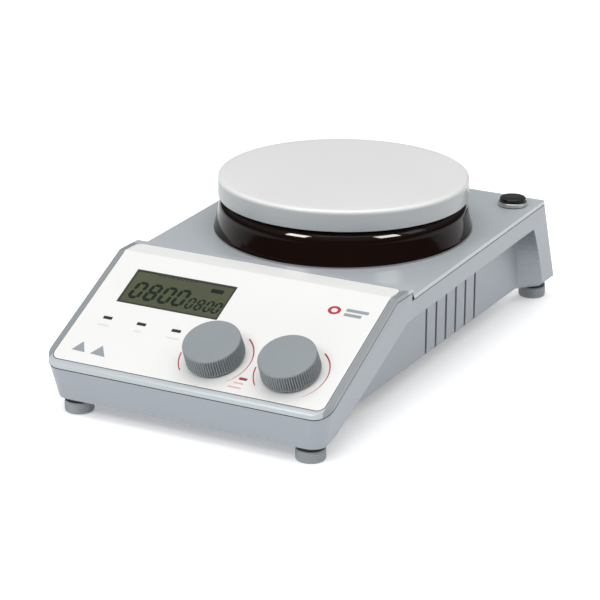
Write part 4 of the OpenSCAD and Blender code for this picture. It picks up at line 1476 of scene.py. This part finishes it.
@dataclass
class Studio:
    """Pale floor, soft lights and the camera; azimuth 0 is in front, 90 to the right."""

    floor_half: float = 6.0
    camera_place: tuple[float, float, float] = (0.61026, -1.18395, 0.50266)
    camera_aim: tuple[float, float, float] = (0.00077, -0.02198, 0.03541)
    lens_mm: float = 158.38
    roll_deg: float = 0.39
    sensor_mm: float = 36.0
    clip_m: tuple[float, float] = (0.05, 20.0)
    world_low: float = 0.10
    world_high: float = 0.55
    rise_from: float = 0.15
    rise_to: float = 0.6
    floor_glow: float = 0.28
    lights: tuple[SoftBox, ...] = (
        SoftBox("over", 40.0, 82.0, 1.6, 1.6, 18.0),
        SoftBox("front_left", -20.0, 38.0, 1.6, 0.45, 6.5),
        SoftBox("right", 105.0, 38.0, 1.6, 0.5, 2.4, (0.93, 0.96, 1.0)),
        SoftBox("glint_left", -19.6, 38.0, 1.6, 0.5, 50.0, (1.0, 0.97, 0.93),
                ("heater_skirt_turned",)),
        SoftBox("glint_right", 74.7, 40.0, 1.6, 0.5, 50.0, (1.0, 0.97, 0.93),
                ("heater_skirt_turned",)),
    )

    def build(self) -> None:
        """Sets up the floor, the world, the lights and the camera."""
        bpy.context.scene.view_settings.view_transform = "Standard"
        self.build_floor()
        self.build_world()
        for box in self.lights:
            self.hang(box)
        self.build_camera()

    def aim_glints(self) -> None:
        """Keeps each glint on the glossy pieces that it is meant for."""
        for box in self.lights:
            if box.only_on:
                lit = bpy.data.collections.new(box.name + "_lit")
                for piece in box.only_on:
                    lit.objects.link(bpy.data.objects[piece])
                light = bpy.data.objects[box.name]
                light.light_linking.receiver_collection = lit

    def build_floor(self) -> None:
        """Makes the pale floor."""
        mesh = bmesh.new()
        h = self.floor_half
        corners = [mesh.verts.new((x, y, 0)) for x, y in ((-h, -h), (h, -h), (h, h), (-h, h))]
        mesh.faces.new(corners)
        floor = to_object("floor", mesh)
        graph = Graph(bpy.data.materials.new("floor_paper"))
        grain = graph.noise(400.0, 2.0)
        floor.data.materials.append(graph.finish({
            "Base Color": graph.vary(grain, (1.0, 1.0, 1.0), 0.97, 0.99),
            "Roughness": 0.9,
            "Specular IOR Level": 0.1,
            "Emission Color": (1.0, 1.0, 1.0, 1.0),
            "Emission Strength": self.floor_glow,
        }))

    def build_world(self) -> None:
        """Lights the room softly, darker towards the walls and brighter towards the ceiling."""
        graph = Graph(bpy.data.worlds.new("studio"))
        way = graph.node("ShaderNodeTexCoord").outputs["Generated"]
        axes = graph.node("ShaderNodeSeparateXYZ", inputs={"Vector": way})
        rise = graph.node("ShaderNodeMapRange", {"interpolation_type": "SMOOTHSTEP"}, {
            "Value": axes.outputs["Z"],
            "From Min": self.rise_from,
            "From Max": self.rise_to,
            "To Min": self.world_low,
            "To Max": self.world_high,
        })
        glow = graph.node("ShaderNodeBackground", inputs={
            "Color": (1.0, 1.0, 1.0, 1.0), "Strength": rise.outputs["Result"],
        })
        graph.node("ShaderNodeOutputWorld", inputs={"Surface": glow.outputs[0]})
        bpy.context.scene.world = graph.owner

    def hang(self, box: SoftBox) -> None:
        """Hangs a soft box.

        Args:
            box: The soft box.
        """
        aim = Vector(self.camera_aim)
        light = bpy.data.lights.new(box.name, "AREA")
        light.size = box.side
        light.energy = box.watts
        light.color = box.colour
        made = bpy.data.objects.new(box.name, light)
        made.location = box.place(aim)
        made.rotation_mode = "QUATERNION"
        made.rotation_quaternion = (aim - made.location).to_track_quat("-Z", "Y")
        bpy.context.scene.collection.objects.link(made)
        LOG.info("soft box %s hung", box.name)

    def build_camera(self) -> None:
        """Places the camera."""
        data = bpy.data.cameras.new("camera")
        data.lens = self.lens_mm
        data.sensor_width = self.sensor_mm
        data.clip_start, data.clip_end = self.clip_m
        camera = bpy.data.objects.new("camera", data)
        place, aim = Vector(self.camera_place), Vector(self.camera_aim)
        back = (place - aim).normalized()
        right = Vector((0, 0, 1)).cross(back).normalized()
        up = back.cross(right)
        roll = math.radians(self.roll_deg)
        axis_x = right * math.cos(roll) + up * math.sin(roll)
        axis_y = up * math.cos(roll) - right * math.sin(roll)
        turn = Matrix((axis_x, axis_y, back)).transposed().to_4x4()
        camera.matrix_world = Matrix.Translation(place) @ turn
        bpy.context.scene.collection.objects.link(camera)
        bpy.context.scene.camera = camera


def main() -> None:
    """Builds the scene and reports each piece."""
    logging.basicConfig(level=logging.INFO, format="%(name)s: %(message)s")
    book = FinishBook()
    plane = PanelPlane.from_frame("heat_knob_turn")
    printer = Printer(book, plane, face_mm=0.2)
    studio = Studio()
    studio.build()
    Casing(book).build()
    Feet(book).build()
    Console(book, plane, printer).build()
    for node in ("heat_knob", "speed_knob"):
        Knob(book, plane, node).build()
    Hotplate(book).build()
    RodSocket(book).build()
    RearConnectors(book).build()
    studio.aim_glints()


if __name__ == "__main__":
    main()
